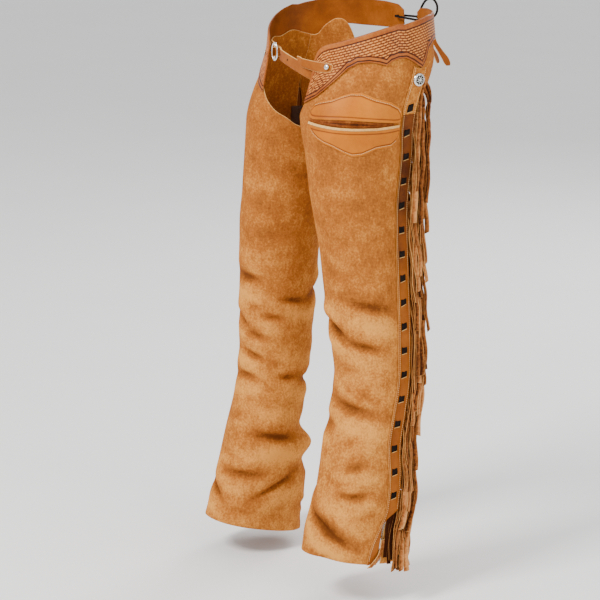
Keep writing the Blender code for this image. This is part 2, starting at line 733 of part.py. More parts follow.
def make_zip(side, group):
    """Tape inside the seam's opening, the slider near the hem and its thong."""
    inside = -(SUEDE + TAPE_DEEP)
    bottom = hem_level(side, seam_angle(side, HEM_SEAM_LEVEL)) + HEM_CLEAR
    rows = []
    for i in range(ZIP_ROWS + 1):
        z = bottom + (ZIP_TOP - bottom) * i / ZIP_ROWS
        seam = seam_angle(side, z)
        rows.append([leg_point(side, seam + turn, z, inside) for turn in (-TAPE_TURN, 0.0, TAPE_TURN)])
    wall(side.name + "_zip_tape", rows, TAPE, -1.0, TAPE_FINISH, side.sign < 0, group)

    corners = []
    for lift in (-SLIDER_HALF, SLIDER_HALF):
        z = SLIDER_LEVEL + lift
        for turn, out in ((-SLIDER_TURN, SLIDER_IN), (SLIDER_TURN, SLIDER_IN),
                          (SLIDER_TURN, SLIDER_OUT), (-SLIDER_TURN, SLIDER_OUT)):
            corners.append(leg_point(side, seam_angle(side, z) + turn, z, out))
    mesh = bpy.data.meshes.new(side.name + "_slider")
    shape = box_mesh(corners)
    shape.to_mesh(mesh)
    shape.free()
    mesh.materials.append(material(SILVER_FINISH))
    slider = bpy.data.objects.new(side.name + "_slider", mesh)
    group.objects.link(slider)
    soften = slider.modifiers.new("edges", "BEVEL")
    soften.width = 0.0008
    soften.segments = 1

    rows = []
    for row in ZIP_PULL:
        z = SLIDER_LEVEL + row.drop
        rows.append([hanging_point(side, row.across + edge * row.wide / 2.0, z, row.out)
                     for edge in (-1.0, 1.0)])
    wall(side.name + "_zip_pull", rows, THONG, 0.0, SMOOTH_FINISH, side.sign < 0, group)


def hanging_point(side, across, z, out):
    """Point off the leg's face, measured round the leg from the seam in metres."""
    seam = seam_angle(side, z)
    turn = math.degrees(across / read_table(side.sections, "z", z, "b"))
    return leg_point(side, seam + turn, z, out)


def turned_piece(name, profile, steps, place, facing, finish, group):
    """A turned piece from its outer profile, top to bottom, set on a face."""
    mesh = bpy.data.meshes.new(name)
    points = [(radius, 0.0, height) for radius, height in profile]
    mesh.from_pydata(points, [(i, i + 1) for i in range(len(points) - 1)], [])
    mesh.materials.append(material(finish))
    thing = bpy.data.objects.new(name, mesh)
    group.objects.link(thing)
    turn = thing.modifiers.new("turn", "SCREW")
    turn.steps = steps
    turn.render_steps = steps
    turn.use_merge_vertices = True
    turn.merge_threshold = 0.00005
    turn.use_smooth_shade = True
    thing.rotation_euler = facing.to_track_quat("Z", "Y").to_euler()
    thing.location = place
    return thing


def make_metal(side, group):
    """The domed concho on the flap and the rivet on the yoke."""
    up = (band_point(side, CONCHO_ACROSS, CONCHO_LEVEL + CONCHO_RADIUS)
          - band_point(side, CONCHO_ACROSS, CONCHO_LEVEL - CONCHO_RADIUS))
    across = band_point(side, BAND_BACK, CONCHO_LEVEL) - band_point(side, 0.0, CONCHO_LEVEL)
    facing = (across.cross(up) * side.sign).normalized()
    centre = band_point(side, CONCHO_ACROSS, CONCHO_LEVEL) + facing * (BAND_LEATHER + CONCHO_CLEAR)
    dome = ((0.0, 0.0050), (0.0035, 0.0047), (0.0050, 0.0038), (0.0062, 0.0042),
            (0.0090, 0.0030), (CONCHO_RADIUS, 0.0010), (CONCHO_RADIUS, 0.0), (0.0, 0.0))
    turned_piece(side.name + "_concho", dome, 16, centre, facing, SILVER_FINISH, group)


def ribbon(name, stations, thick, finish, group):
    """A flat strap through stations of centre, direction across and half width."""
    rows = []
    for centre, across, half in stations:
        direction = Vector(across).normalized()
        rows.append([Vector(centre) - direction * half, Vector(centre), Vector(centre) + direction * half])
    return wall(name, rows, thick, 0.0, finish, False, group)


def make_rivets(group):
    """A rivet on each yoke, the left one through the root of the strap's tongue."""
    head = ((0.0, 0.0022), (0.0026, 0.0018), (RIVET_RADIUS, 0.0006), (RIVET_RADIUS, 0.0), (0.0, 0.0))
    on_yoke = YOKE_LAY + YOKE_LEATHER + SEAM_GAP * 2.0
    lifts = {"left": on_yoke + STRAP_LEATHER + 0.0010, "right": on_yoke}
    for side in (LEFT, RIGHT):
        facing = facing_at(side, RIVET_ANGLE, 0.0)
        place = leg_point(side, RIVET_ANGLE, 0.0) + facing * lifts[side.name]
        turned_piece(side.name + "_rivet", head, 14, place, facing, SILVER_FINISH, group)


def laid(side, u, z, out, half):
    """A strap's station on the leg's face: its middle, the direction up the face and its half width."""
    up = leg_point(side, u, z + 0.01, out) - leg_point(side, u, z - 0.01, out)
    return leg_point(side, u, z, out), up, half


def past_buckle(x, y, z, half):
    """A strap's station beside the buckle, upright."""
    return BUCKLE_CENTRE + Vector((x, y, z)), (0.0, 0.0, 1.0), half


def make_straps(group):
    """The front strap, the tongue riveted over it and the strap that carries the buckle."""
    behind = BUCKLE_WIRE + SEAM_GAP * 2.0 + STRAP_LEATHER / 2.0
    over = -(BUCKLE_BAR + SEAM_GAP * 2.0 + STRAP_LEATHER / 2.0)
    slant = (0.20, 0.0, 0.98)
    stations = (
        laid(LEFT, 84.0, -0.020, -0.0022, 0.0090),
        laid(LEFT, 76.0, -0.0155, -0.0022, 0.0095),
        (Vector((0.060, -0.1275, -0.0095)), slant, 0.0100),
        (Vector((0.030, -0.1310, -0.0020)), slant, 0.0098),
        (Vector((0.000, -0.1310, 0.0040)), slant, 0.0095),
        (Vector((-0.026, -0.1275, 0.0085)), (0.12, 0.0, 0.99), 0.0090),
        past_buckle(0.0125, behind, -0.001, 0.0080),
        past_buckle(0.0058, behind, 0.0, 0.0074),
        past_buckle(0.0012, over, 0.0, 0.0074),
        past_buckle(-0.0012, over, 0.0, 0.0074),
        past_buckle(-0.0058, behind, 0.0, 0.0074),
        past_buckle(-0.0125, behind, 0.001, 0.0078),
        past_buckle(-0.0170, behind, 0.002, 0.0076),
    )
    ribbon("front_strap", stations, STRAP_LEATHER, SMOOTH_FINISH, group)

    lift = YOKE_LAY + YOKE_LEATHER + SEAM_GAP + STRAP_LEATHER / 2.0 + 0.0008
    tongue = (
        laid(LEFT, 96.0, 0.000, lift, 0.0050),
        laid(LEFT, 91.0, 0.000, lift, 0.0075),
        laid(LEFT, 85.0, 0.000, lift, 0.0078),
        laid(LEFT, 79.0, 0.000, lift, 0.0078),
        laid(LEFT, 74.0, 0.001, lift, 0.0076),
        (Vector((0.062, -0.1335, 0.0045)), slant, 0.0068),
        (Vector((0.052, -0.1345, 0.0085)), slant, 0.0050),
        (Vector((0.044, -0.1345, 0.0120)), slant, 0.0018),
    )
    ribbon("strap_tongue", tongue, STRAP_LEATHER, SMOOTH_FINISH, group)

    below = behind + STRAP_LEATHER + SEAM_GAP
    carrier = (
        past_buckle(0.0060, below, 0.000, 0.0082),
        past_buckle(-0.0080, below, 0.001, 0.0085),
        past_buckle(-0.0150, below, 0.003, 0.0088),
        laid(RIGHT, 76.0, 0.0145, -0.0022, 0.0092),
        laid(RIGHT, 84.0, 0.0150, -0.0018, 0.0092),
    )
    ribbon("buckle_strap", carrier, STRAP_LEATHER, SMOOTH_FINISH, group)


def make_buckle(group, cutters):
    """An oval wire buckle with a bar up its middle, facing the front."""
    bpy.ops.mesh.primitive_torus_add(major_segments=20, minor_segments=6,
                                     major_radius=1.0, minor_radius=BUCKLE_WIRE)
    ring = bpy.context.active_object
    for vert in ring.data.vertices:
        flat = Vector((vert.co.x, vert.co.y, 0.0))
        rim = flat.normalized()
        spare = flat - rim
        place = Vector((rim.x * BUCKLE_WIDE, rim.y * BUCKLE_TALL, 0.0)) + spare
        vert.co = (place.x, vert.co.z, place.y)
    ring.name = "buckle"
    ring.data.name = "buckle"
    for owner in list(ring.users_collection):
        owner.objects.unlink(ring)
    group.objects.link(ring)
    ring.location = BUCKLE_CENTRE
    turn = bmesh.new()
    turn.from_mesh(ring.data)
    face_outwards(turn)
    turn.to_mesh(ring.data)
    turn.free()
    ring.data.materials.append(material(SILVER_FINISH))
    ring.data.shade_smooth()
    bar = bmesh.new()
    bmesh.ops.create_cone(bar, cap_ends=True, segments=8, radius1=BUCKLE_BAR, radius2=BUCKLE_BAR,
                          depth=BUCKLE_TALL * 2.0)
    tool = unite(ring, bar, "buckle_bar", cutters)
    tool.location = BUCKLE_CENTRE


def spline_points(route, count):
    """Evenly spread points on a smooth curve through a route's own points."""
    rows = [Stop(i, *point) for i, point in enumerate(route)]
    last = len(route) - 1
    return [tuple(read_table(rows, "t", last * k / count, axis) for axis in "xyz")
            for k in range(count + 1)]


def tube(name, route, count, radius, finish, group):
    """A round cord with filled ends along a smooth route."""
    curve = bpy.data.curves.new(name, "CURVE")
    curve.dimensions = "3D"
    curve.bevel_depth = radius
    curve.bevel_resolution = 2
    curve.use_fill_caps = True
    curve.render_resolution_u = 0
    points = spline_points(route, count)
    spline = curve.splines.new("POLY")
    spline.points.add(len(points) - 1)
    for slot, point in zip(spline.points, points):
        slot.co = (*point, 1.0)
    curve.materials.append(material(finish))
    thing = bpy.data.objects.new(name, curve)
    group.objects.link(thing)
    return thing


def make_lacing(yokes, group, cutters):
    """The lace through a hole in each yoke's end, its knot, its loop and two thong tails."""
    for side, yoke in yokes:
        centre = leg_point(side, LACE_ANGLE, LACE_LEVEL, 0.002)
        outer = leg_point(side, LACE_ANGLE, LACE_LEVEL, 0.012)
        mesh = bpy.data.meshes.new(side.name + "_lace_hole")
        shape = bmesh.new()
        bmesh.ops.create_cone(shape, cap_ends=True, segments=10, radius1=LACE_HOLE,
                              radius2=LACE_HOLE, depth=0.016)
        shape.to_mesh(mesh)
        shape.free()
        tool = bpy.data.objects.new(side.name + "_lace_hole", mesh)
        tool.hide_render = True
        tool.display_type = "WIRE"
        tool.location = centre
        tool.rotation_euler = (outer - centre).to_track_quat("Z", "Y").to_euler()
        cutters.objects.link(tool)
        bore = yoke.modifiers.new("lace hole", "BOOLEAN")
        bore.operation = "DIFFERENCE"
        bore.solver = "EXACT"
        bore.object = tool

    left_hole = leg_point(LEFT, LACE_ANGLE, LACE_LEVEL, 0.0021)
    left_out = leg_point(LEFT, LACE_ANGLE, LACE_LEVEL, 0.0100)
    left_in = leg_point(LEFT, LACE_ANGLE, LACE_LEVEL, -0.0065)
    start = KNOT_CENTRE + Vector((KNOT_RADIUS + SEAM_GAP + 0.0004, 0.0, 0.0))
    route = [start, start + Vector((0.004, -0.0005, 0.0)), left_out, left_hole, left_in,
             Vector((left_in.x * 0.5, left_in.y - 0.001, LACE_LEVEL))]
    back = [Vector((-point.x, point.y, point.z)) for point in reversed(route)]
    middle = Vector((0.0, left_in.y - 0.0012, LACE_LEVEL))
    tube("back_lace", [tuple(p) for p in route] + [tuple(middle)] + [tuple(p) for p in back],
         18, LACE_RADIUS, LACE_FINISH, group)

    bpy.ops.mesh.primitive_uv_sphere_add(segments=12, ring_count=8, radius=KNOT_RADIUS)
    knot = bpy.context.active_object
    knot.name = "lace_knot"
    knot.data.name = "lace_knot"
    knot.data.transform(Matrix.Diagonal((1.0, 0.9, KNOT_TALL, 1.0)))
    for owner in list(knot.users_collection):
        owner.objects.unlink(knot)
    group.objects.link(knot)
    knot.location = KNOT_CENTRE
    knot.data.materials.append(material(LACE_FINISH))
    knot.data.shade_smooth()

    off = KNOT_RADIUS * KNOT_TALL + SEAM_GAP + 0.0007
    loop = [KNOT_CENTRE + Vector((0.0, 0.0010, off))]
    loop += [KNOT_CENTRE + Vector(step) for step in LACE_LOOP]
    tube("lace_loop", [tuple(p) for p in loop], 14, LACE_RADIUS, LACE_FINISH, group)

    for side in (LEFT, RIGHT):
        stations = []
        for row in LACE_TAIL:
            across = TAIL_AT_KNOT.lerp(TAIL_HANGING, row.turn)
            centre = KNOT_CENTRE + Vector((side.sign * row.x, row.y, row.z))
            stations.append((centre, (side.sign * across.x, across.y, across.z), row.half))
        ribbon(side.name + "_lace_tail", stations, THONG, SMOOTH_FINISH, group)


def main():
    """Build every piece of both sides and what joins them."""
    clear_scene()
    group = collection("fringed_chaps")
    cutters = collection("cutters")
    yokes = []
    for seed, side in enumerate((LEFT, RIGHT), start=11):
        make_leg(side, group)
        yokes.append((side, make_yoke(side, group)))
        make_band(side, group, cutters)
        make_fringe(side, group, cutters, seed)
        make_zip(side, group)
        make_metal(side, group)
    make_pocket(LEFT, group)
    make_straps(group)
    make_rivets(group)
    make_buckle(group, cutters)
    make_lacing(yokes, group, cutters)


main()
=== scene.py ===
"""Looks for the fringed suede chaps: nap, creases, tooling, lacing, stitching, fringe and metal.

Metres, +Z up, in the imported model's frame. The wearer's front is -Y and the wearer's left
is +X. A leg is described in its own angles: 0 faces the other leg, 90 the front, 180 the
outside and 270 the back. The right leg is the same description with X reversed.
"""

import logging
import math
import random
from dataclasses import dataclass
from enum import Enum

import bpy
import numpy as np
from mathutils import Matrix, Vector


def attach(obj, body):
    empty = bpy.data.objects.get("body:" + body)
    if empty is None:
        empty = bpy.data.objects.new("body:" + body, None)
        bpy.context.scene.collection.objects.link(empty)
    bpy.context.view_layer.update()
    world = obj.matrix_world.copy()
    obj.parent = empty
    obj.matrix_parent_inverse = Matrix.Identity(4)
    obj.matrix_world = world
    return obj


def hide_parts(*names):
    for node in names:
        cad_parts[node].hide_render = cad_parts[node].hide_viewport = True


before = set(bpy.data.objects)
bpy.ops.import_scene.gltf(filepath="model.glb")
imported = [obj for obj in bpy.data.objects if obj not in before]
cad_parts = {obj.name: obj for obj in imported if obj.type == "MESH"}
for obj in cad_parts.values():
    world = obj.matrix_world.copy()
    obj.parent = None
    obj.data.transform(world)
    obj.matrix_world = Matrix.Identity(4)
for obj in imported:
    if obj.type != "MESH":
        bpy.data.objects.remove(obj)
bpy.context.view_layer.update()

LOG = logging.getLogger("chaps")
BODY = "root"


# Finishes


class Coat(Enum):
    """How a leather's surface was left by the tannery."""

    NAP = "nap"
    GRAIN = "grain"
    TOOLED = "tooled"
    CUT = "cut"


@dataclass(frozen=True)
class Leather:
    """A leather finish: three tones, its surface and how strongly it is worn and bumped."""

    name: str
    slot: str
    coat: Coat
    dark: tuple[float, float, float]
    middle: tuple[float, float, float]
    light: tuple[float, float, float]
    rough: float
    sheen: float
    patch_scale: float
    grain_scale: float
    grain_depth: float
    mottle: float


@dataclass(frozen=True)
class Metal:
    """A metal finish: its colour, how dull it is and the tone of its recesses."""

    name: str
    slot: str
    colour: tuple[float, float, float]
    recess: tuple[float, float, float]
    rough: float
    scratch_depth: float


@dataclass(frozen=True)
class Thread:
    """A sewing thread or woven tape: its colour and the pitch of its twist."""

    name: str
    slot: str
    colour: tuple[float, float, float]
    shadow: tuple[float, float, float]
    twist_scale: float


SUEDE = Leather("golden_suede_nap", "golden_suede", Coat.NAP, (0.155, 0.043, 0.009), (0.37, 0.114, 0.018),
                (0.72, 0.305, 0.055), 0.95, 0.0, 60.0, 900.0, 0.0009, 0.36)
FRINGE_SUEDE = Leather("fringe_suede_nap", "golden_suede", Coat.NAP, (0.035, 0.009, 0.003),
                       (0.24, 0.072, 0.016), (0.56, 0.24, 0.078), 0.95, 0.0, 90.0, 900.0, 0.0005, 0.40)
SMOOTH = Leather("pocket_tan_leather", "smooth_tan_leather", Coat.GRAIN, (0.20, 0.042, 0.002),
                 (0.48, 0.130, 0.004), (0.66, 0.22, 0.014), 0.5, 0.0, 22.0, 1500.0, 0.00012, 0.6)
BAND = Leather("band_brown_leather", "smooth_tan_leather", Coat.GRAIN, (0.055, 0.011, 0.001),
               (0.25, 0.062, 0.005), (0.48, 0.15, 0.016), 0.5, 0.0, 22.0, 1500.0, 0.00012, 0.7)
TOOLED = Leather("tooled_leather_stamp", "tooled_leather", Coat.TOOLED, (0.022, 0.003, 0.0005),
                 (0.27, 0.058, 0.005), (0.66, 0.25, 0.055), 0.42, 0.0, 30.0, 1400.0, 0.0001, 0.6)
CUT_EDGE = Leather("cut_edge_leather", "cut_edge_leather", Coat.CUT, (0.40, 0.16, 0.04), (0.66, 0.35, 0.11),
                   (0.80, 0.54, 0.23), 0.8, 0.0, 90.0, 1200.0, 0.0002, 0.7)
TAN_EDGE = Leather("tan_edge_leather", "cut_edge_leather", Coat.CUT, (0.26, 0.08, 0.012), (0.46, 0.175, 0.032),
                   (0.66, 0.33, 0.09), 0.8, 0.0, 90.0, 1200.0, 0.0002, 0.7)
DARK_EDGE = Leather("burnished_edge_leather", "tooled_leather", Coat.CUT, (0.04, 0.009, 0.002),
                    (0.16, 0.036, 0.005), (0.34, 0.11, 0.02), 0.5, 0.0, 90.0, 1200.0, 0.0001, 0.7)
LACE_LEATHER = Leather("dark_lace_leather", "dark_lace", Coat.CUT, (0.003, 0.002, 0.0015),
                       (0.008, 0.005, 0.004), (0.028, 0.017, 0.012), 0.6, 0.0, 120.0, 1500.0, 0.0002, 1.0)
SILVER = Metal("silver_plate", "silver_metal", (0.80, 0.79, 0.76), (0.035, 0.028, 0.022), 0.2, 0.00005)
CREAM_THREAD = Thread("cream_thread", "cut_edge_leather", (0.78, 0.49, 0.20), (0.46, 0.22, 0.06), 1400.0)
ZIP_CLOTH = Thread("zip_tape_weave", "zip_tape", (0.09, 0.040, 0.018), (0.03, 0.013, 0.006), 1600.0)


class NodeBench:
    """A material's node tree, with short words for adding and joining nodes."""

    def __init__(self, name: str) -> None:
        """Start a material with a Principled shader.

        Args:
            name: the material's name.
        """
        self.material = bpy.data.materials.new(name)
        self.material.use_nodes = True
        self.tree = self.material.node_tree
        self.shader = self.tree.nodes["Principled BSDF"]
        place = self.add("ShaderNodeTexCoord")
        self.place = place.outputs["Object"]

    def add(self, kind: str, **settings: object) -> bpy.types.Node:
        """Add a node and set its properties.

        Args:
            kind: the node's type.
            settings: its properties by name.

        Returns:
            The new node.
        """
        node = self.tree.nodes.new(kind)
        for key, value in settings.items():
            setattr(node, key, value)
        return node

    def join(self, source: bpy.types.NodeSocket, target: bpy.types.NodeSocket) -> None:
        """Link one socket to another."""
        self.tree.links.new(source, target)

    def noise(self, scale: float, detail: float = 3.0, rough: float = 0.55,
              stretch: tuple[float, float, float] = (1.0, 1.0, 1.0)) -> bpy.types.NodeSocket:
        """A noise value in object space.

        Args:
            scale: lumps per metre.
            detail: octaves.
            rough: how strong the finer octaves are.
            stretch: scale along each axis.

        Returns:
            The value's socket.
        """
        mapping = self.add("ShaderNodeMapping")
        mapping.inputs["Scale"].default_value = stretch
        self.join(self.place, mapping.inputs["Vector"])
        node = self.add("ShaderNodeTexNoise")
        node.inputs["Scale"].default_value = scale
        node.inputs["Detail"].default_value = detail
        node.inputs["Roughness"].default_value = rough
        self.join(mapping.outputs["Vector"], node.inputs["Vector"])
        return node.outputs["Fac"]

    def value(self, name: str) -> bpy.types.NodeSocket:
        """A mesh's own point value by name."""
        node = self.add("ShaderNodeAttribute", attribute_name=name)
        return node.outputs["Fac"]

    def sum(self, parts: list[tuple[bpy.types.NodeSocket, float]], start: float) -> bpy.types.NodeSocket:
        """A weighted sum of values.

        Args:
            parts: each socket with its weight.
            start: what the sum starts from.

        Returns:
            The sum's socket.
        """
        total = None
        for socket, weight in parts:
            node = self.add("ShaderNodeMath", operation="MULTIPLY_ADD")
            self.join(socket, node.inputs[0])
            node.inputs[1].default_value = weight
            if total is None:
                node.inputs[2].default_value = start
            else:
                self.join(total, node.inputs[2])
            total = node.outputs[0]
        return total

    def ramp(self, fac: bpy.types.NodeSocket,
             stops: list[tuple[float, tuple[float, float, float]]]) -> bpy.types.NodeSocket:
        """A colour ramp through tones.

        Args:
            fac: where to read it.
            stops: each place with its colour.

        Returns:
            The colour's socket.
        """
        node = self.add("ShaderNodeValToRGB")
        elements = node.color_ramp.elements
        while len(elements) < len(stops):
            elements.new(0.5)
        for element, (at, colour) in zip(elements, stops):
            element.position = at
            element.color = (*colour, 1.0)
        self.join(fac, node.inputs["Fac"])
        return node.outputs["Color"]

    def bump(self, height: bpy.types.NodeSocket, depth: float, strength: float = 1.0) -> None:
        """Feed a height to the shader's normal, over any bump that is there.

        Args:
            height: the height's socket.
            depth: metres from low to high.
            strength: how much of it shows.
        """
        node = self.add("ShaderNodeBump")
        node.inputs["Strength"].default_value = strength
        node.inputs["Distance"].default_value = depth
        self.join(height, node.inputs["Height"])
        if self.shader.inputs["Normal"].is_linked:
            self.join(self.shader.inputs["Normal"].links[0].from_socket, node.inputs["Normal"])
        self.join(node.outputs["Normal"], self.shader.inputs["Normal"])


class FinishShelf:
    """Makes each finish's material once and hands it out."""

    def __init__(self) -> None:
        """Start with no materials."""
        self.made: dict[str, bpy.types.Material] = {}

    def get(self, finish: Leather | Metal | Thread) -> bpy.types.Material:
        """The material of a finish.

        Args:
            finish: the finish to look up.

        Returns:
            Its material, made on first use.
        """
        if finish.name not in self.made:
            if isinstance(finish, Leather):
                self.made[finish.name] = self.leather(finish)
            elif isinstance(finish, Metal):
                self.made[finish.name] = self.metal(finish)
            else:
                self.made[finish.name] = self.thread(finish)
        return self.made[finish.name]

    def leather(self, finish: Leather) -> bpy.types.Material:
        """Build a leather's material.

        Args:
            finish: the leather.

        Returns:
            The material.
        """
        bench = NodeBench(finish.name)
        shader = bench.shader
        patches = bench.noise(finish.patch_scale, 7.0, 0.68)
        cloud = bench.noise(finish.patch_scale * 0.3, 3.0, 0.5)
        speck = bench.noise(finish.grain_scale * 0.3, 4.0, 0.7)
        streak = bench.noise(150.0, 4.0, 0.65, (1.0, 1.0, 0.3))
        shares = {
            Coat.NAP: (1.4, 1.5, 2.6, 0.8, 0.33), Coat.GRAIN: (1.0, 0.9, 0.4, 0.0, 0.40),
            Coat.TOOLED: (0.9, 0.3, 0.4, 0.0, 1.10), Coat.CUT: (1.2, 0.4, 0.9, 0.0, 0.30),
        }[finish.coat]
        mixed = [share * finish.mottle for share in shares[:4]]
        # The crease value carries painted shade and highlight in folds, grooves and shadowed parts, as well as each
        # piece's own tone.
        parts = list(zip((patches, cloud, speck, streak), mixed)) + [(bench.value("crease"), shares[4])]
        middle = 0.5 - 0.5 * sum(mixed) - (0.62 if finish.coat is Coat.TOOLED else 0.0)
        fac = bench.sum(parts, middle)
        colour = bench.ramp(fac, [(0.10, finish.dark), (0.50, finish.middle), (0.90, finish.light)])
        bench.join(colour, shader.inputs["Base Color"])
        dull = bench.sum([(patches, 0.14)], finish.rough - 0.07)
        bench.join(dull, shader.inputs["Roughness"])
        shader.inputs["Sheen Weight"].default_value = finish.sheen
        shader.inputs["Sheen Roughness"].default_value = 0.5
        shader.inputs["Sheen Tint"].default_value = (1.0, 0.82, 0.58, 1.0)
        gloss = {Coat.NAP: 0.05, Coat.GRAIN: 0.13, Coat.TOOLED: 0.18, Coat.CUT: 0.06}[finish.coat]
        shader.inputs["Specular IOR Level"].default_value = gloss
        if finish.coat is Coat.GRAIN or finish.coat is Coat.TOOLED:
            cells = bench.add("ShaderNodeTexVoronoi", feature="DISTANCE_TO_EDGE")
            cells.inputs["Scale"].default_value = finish.grain_scale * 0.5
            bench.join(bench.place, cells.inputs["Vector"])
            bench.bump(cells.outputs["Distance"], finish.grain_depth, 0.4)
            bench.bump(speck, finish.grain_depth * 1.5, 0.4)
        else:
            bench.bump(bench.noise(finish.grain_scale, 5.0, 0.7), finish.grain_depth, 0.7)
            bench.bump(bench.noise(70.0, 4.0, 0.6), 0.0022, 0.35)
        return bench.material

    def metal(self, finish: Metal) -> bpy.types.Material:
        """Build a metal's material.

        Args:
            finish: the metal.

        Returns:
            The material.
        """
        bench = NodeBench(finish.name)
        shader = bench.shader
        scratch = bench.noise(900.0, 6.0, 0.7, (1.0, 0.2, 1.0))
        fac = bench.sum([(bench.value("crease"), 1.0), (scratch, 0.25)], 0.38)
        colour = bench.ramp(fac, [(0.05, finish.recess), (0.45, finish.colour), (0.95, finish.colour)])
        bench.join(colour, shader.inputs["Base Color"])
        shader.inputs["Metallic"].default_value = 1.0
        bench.join(bench.sum([(scratch, 0.22)], finish.rough - 0.08), shader.inputs["Roughness"])
        bench.bump(scratch, finish.scratch_depth, 0.5)
        return bench.material

    def thread(self, finish: Thread) -> bpy.types.Material:
        """Build a thread's or tape's material.

        Args:
            finish: the thread.

        Returns:
            The material.
        """
        bench = NodeBench(finish.name)
        wave = bench.add("ShaderNodeTexWave", bands_direction="DIAGONAL")
        wave.inputs["Scale"].default_value = finish.twist_scale
        wave.inputs["Distortion"].default_value = 0.6
        bench.join(bench.place, wave.inputs["Vector"])
        fac = bench.sum([(wave.outputs["Fac"], 0.6), (bench.noise(300.0), 0.5)], 0.0)
        bench.join(bench.ramp(fac, [(0.1, finish.shadow), (0.7, finish.colour)]), bench.shader.inputs["Base Color"])
        bench.shader.inputs["Roughness"].default_value = 0.85
        bench.bump(wave.outputs["Fac"], 0.0002, 0.6)
        return bench.material


SHELF = FinishShelf()


# The legs' form


@dataclass(frozen=True)
class Section:
    """A leg's level section: its centre, half sizes and the outer seam's angle."""

    z: float
    cx: float
    cy: float
    a: float
    b: float
    seam: float


@dataclass(frozen=True)
class Fold:
    """A trough with a puff above and below: tall in metres, wide in degrees, lean in metres a degree."""

    z: float
    u: float
    tall: float
    wide: float
    depth: float
    lean: float


@dataclass(frozen=True)
class Cut:
    """A place along a cut piece with its lower and upper edge."""

    u: float
    low: float
    high: float


@dataclass(frozen=True)
class Edge:
    """A place round a leg with its top edge's height."""

    u: float
    z: float


@dataclass(frozen=True)
class Toe:
    """A level of the side band below the fringe, with its front and back edge from the seam."""

    z: float
    front: float
    back: float


def stroke(keys: list[float], values: list[float], at: np.ndarray | float) -> np.ndarray:
    """Smooth value of a table's column.

    Args:
        keys: places, all rising or all falling.
        values: the value at each place.
        at: where to read.

    Returns:
        The value at each place asked for.
    """
    spots = np.asarray(keys, float)
    heights = np.asarray(values, float)
    if spots[0] > spots[-1]:
        spots = spots[::-1]
        heights = heights[::-1]
    where = np.clip(np.asarray(at, float), spots[0], spots[-1])
    low = np.clip(np.searchsorted(spots, where, side="right") - 1, 0, len(spots) - 2)
    before = np.maximum(low - 1, 0)
    after = np.minimum(low + 2, len(spots) - 1)
    span = spots[low + 1] - spots[low]
    t = (where - spots[low]) / span
    rise = heights[low + 1] - heights[low]
    start = (heights[low + 1] - heights[before]) / (spots[low + 1] - spots[before]) * span
    end = (heights[after] - heights[low]) / (spots[after] - spots[low]) * span
    return heights[low] + t * start + t * t * (3 * rise - 2 * start - end) + t ** 3 * (start + end - 2 * rise)


def ease(x: np.ndarray | float) -> np.ndarray:
    """Ease from 0 to 1."""
    x = np.clip(x, 0.0, 1.0)
    return x * x * (3.0 - 2.0 * x)


LEFT_SECTIONS = (
    Section(0.060, 0.093, -0.044, 0.090, 0.100, 197),
    Section(-0.050, 0.094, -0.045, 0.090, 0.100, 198),
    Section(-0.100, 0.095, -0.045, 0.089, 0.099, 205),
    Section(-0.150, 0.098, -0.045, 0.083, 0.092, 210),
    Section(-0.230, 0.105, -0.048, 0.075, 0.083, 210),
    Section(-0.300, 0.112, -0.044, 0.070, 0.076, 208),
    Section(-0.420, 0.122, -0.040, 0.067, 0.071, 207),
    Section(-0.470, 0.127, -0.038, 0.066, 0.066, 206),
    Section(-0.540, 0.133, -0.038, 0.064, 0.062, 204),
    Section(-0.600, 0.137, -0.048, 0.065, 0.063, 200),
    Section(-0.650, 0.142, -0.061, 0.066, 0.066, 200),
    Section(-0.710, 0.147, -0.070, 0.066, 0.070, 207),
    Section(-0.760, 0.150, -0.081, 0.067, 0.077, 208),
    Section(-0.800, 0.152, -0.090, 0.067, 0.082, 201),
    Section(-0.870, 0.155, -0.097, 0.068, 0.091, 195),
)
RIGHT_SECTIONS = (
    Section(0.060, 0.093, -0.044, 0.090, 0.100, 197),
    Section(-0.050, 0.094, -0.045, 0.090, 0.100, 198),
    Section(-0.100, 0.095, -0.045, 0.089, 0.099, 205),
    Section(-0.150, 0.098, -0.054, 0.083, 0.092, 210),
    Section(-0.230, 0.105, -0.066, 0.075, 0.083, 210),
    Section(-0.300, 0.112, -0.076, 0.070, 0.076, 208),
    Section(-0.420, 0.122, -0.078, 0.067, 0.071, 207),
    Section(-0.540, 0.133, -0.077, 0.064, 0.067, 204),
    Section(-0.600, 0.137, -0.082, 0.064, 0.065, 200),
    Section(-0.650, 0.142, -0.089, 0.065, 0.067, 200),
    Section(-0.710, 0.147, -0.095, 0.067, 0.075, 207),
    Section(-0.760, 0.150, -0.097, 0.068, 0.084, 208),
    Section(-0.800, 0.152, -0.101, 0.068, 0.091, 201),
    Section(-0.870, 0.155, -0.115, 0.068, 0.097, 195),
)
LEFT_FOLDS = (
    Fold(-0.404, 157, 0.015, 46, 0.0050, -0.00030),
    Fold(-0.447, 82, 0.013, 38, 0.0120, -0.00040),
    Fold(-0.476, 148, 0.012, 28, 0.0040, -0.00020),
    Fold(-0.555, 138, 0.012, 22, 0.0030, -0.00030),
    Fold(-0.583, 118, 0.014, 62, 0.0065, -0.00020),
    Fold(-0.618, 74, 0.012, 30, 0.0050, 0.00000),
    Fold(-0.680, 150, 0.012, 24, 0.0025, 0.00000),
    Fold(-0.730, 160, 0.012, 26, 0.0040, 0.00010),
    Fold(-0.787, 118, 0.013, 46, 0.0090, -0.00070),
    Fold(-0.430, 300, 0.015, 44, 0.0080, 0.00030),
    Fold(-0.515, 262, 0.014, 34, 0.0060, -0.00020),
    Fold(-0.560, 350, 0.014, 44, 0.0060, 0.00020),
    Fold(-0.655, 292, 0.014, 40, 0.0070, 0.00030),
    Fold(-0.715, 20, 0.014, 44, 0.0060, -0.00030),
    Fold(-0.790, 262, 0.015, 42, 0.0080, 0.00030),
)
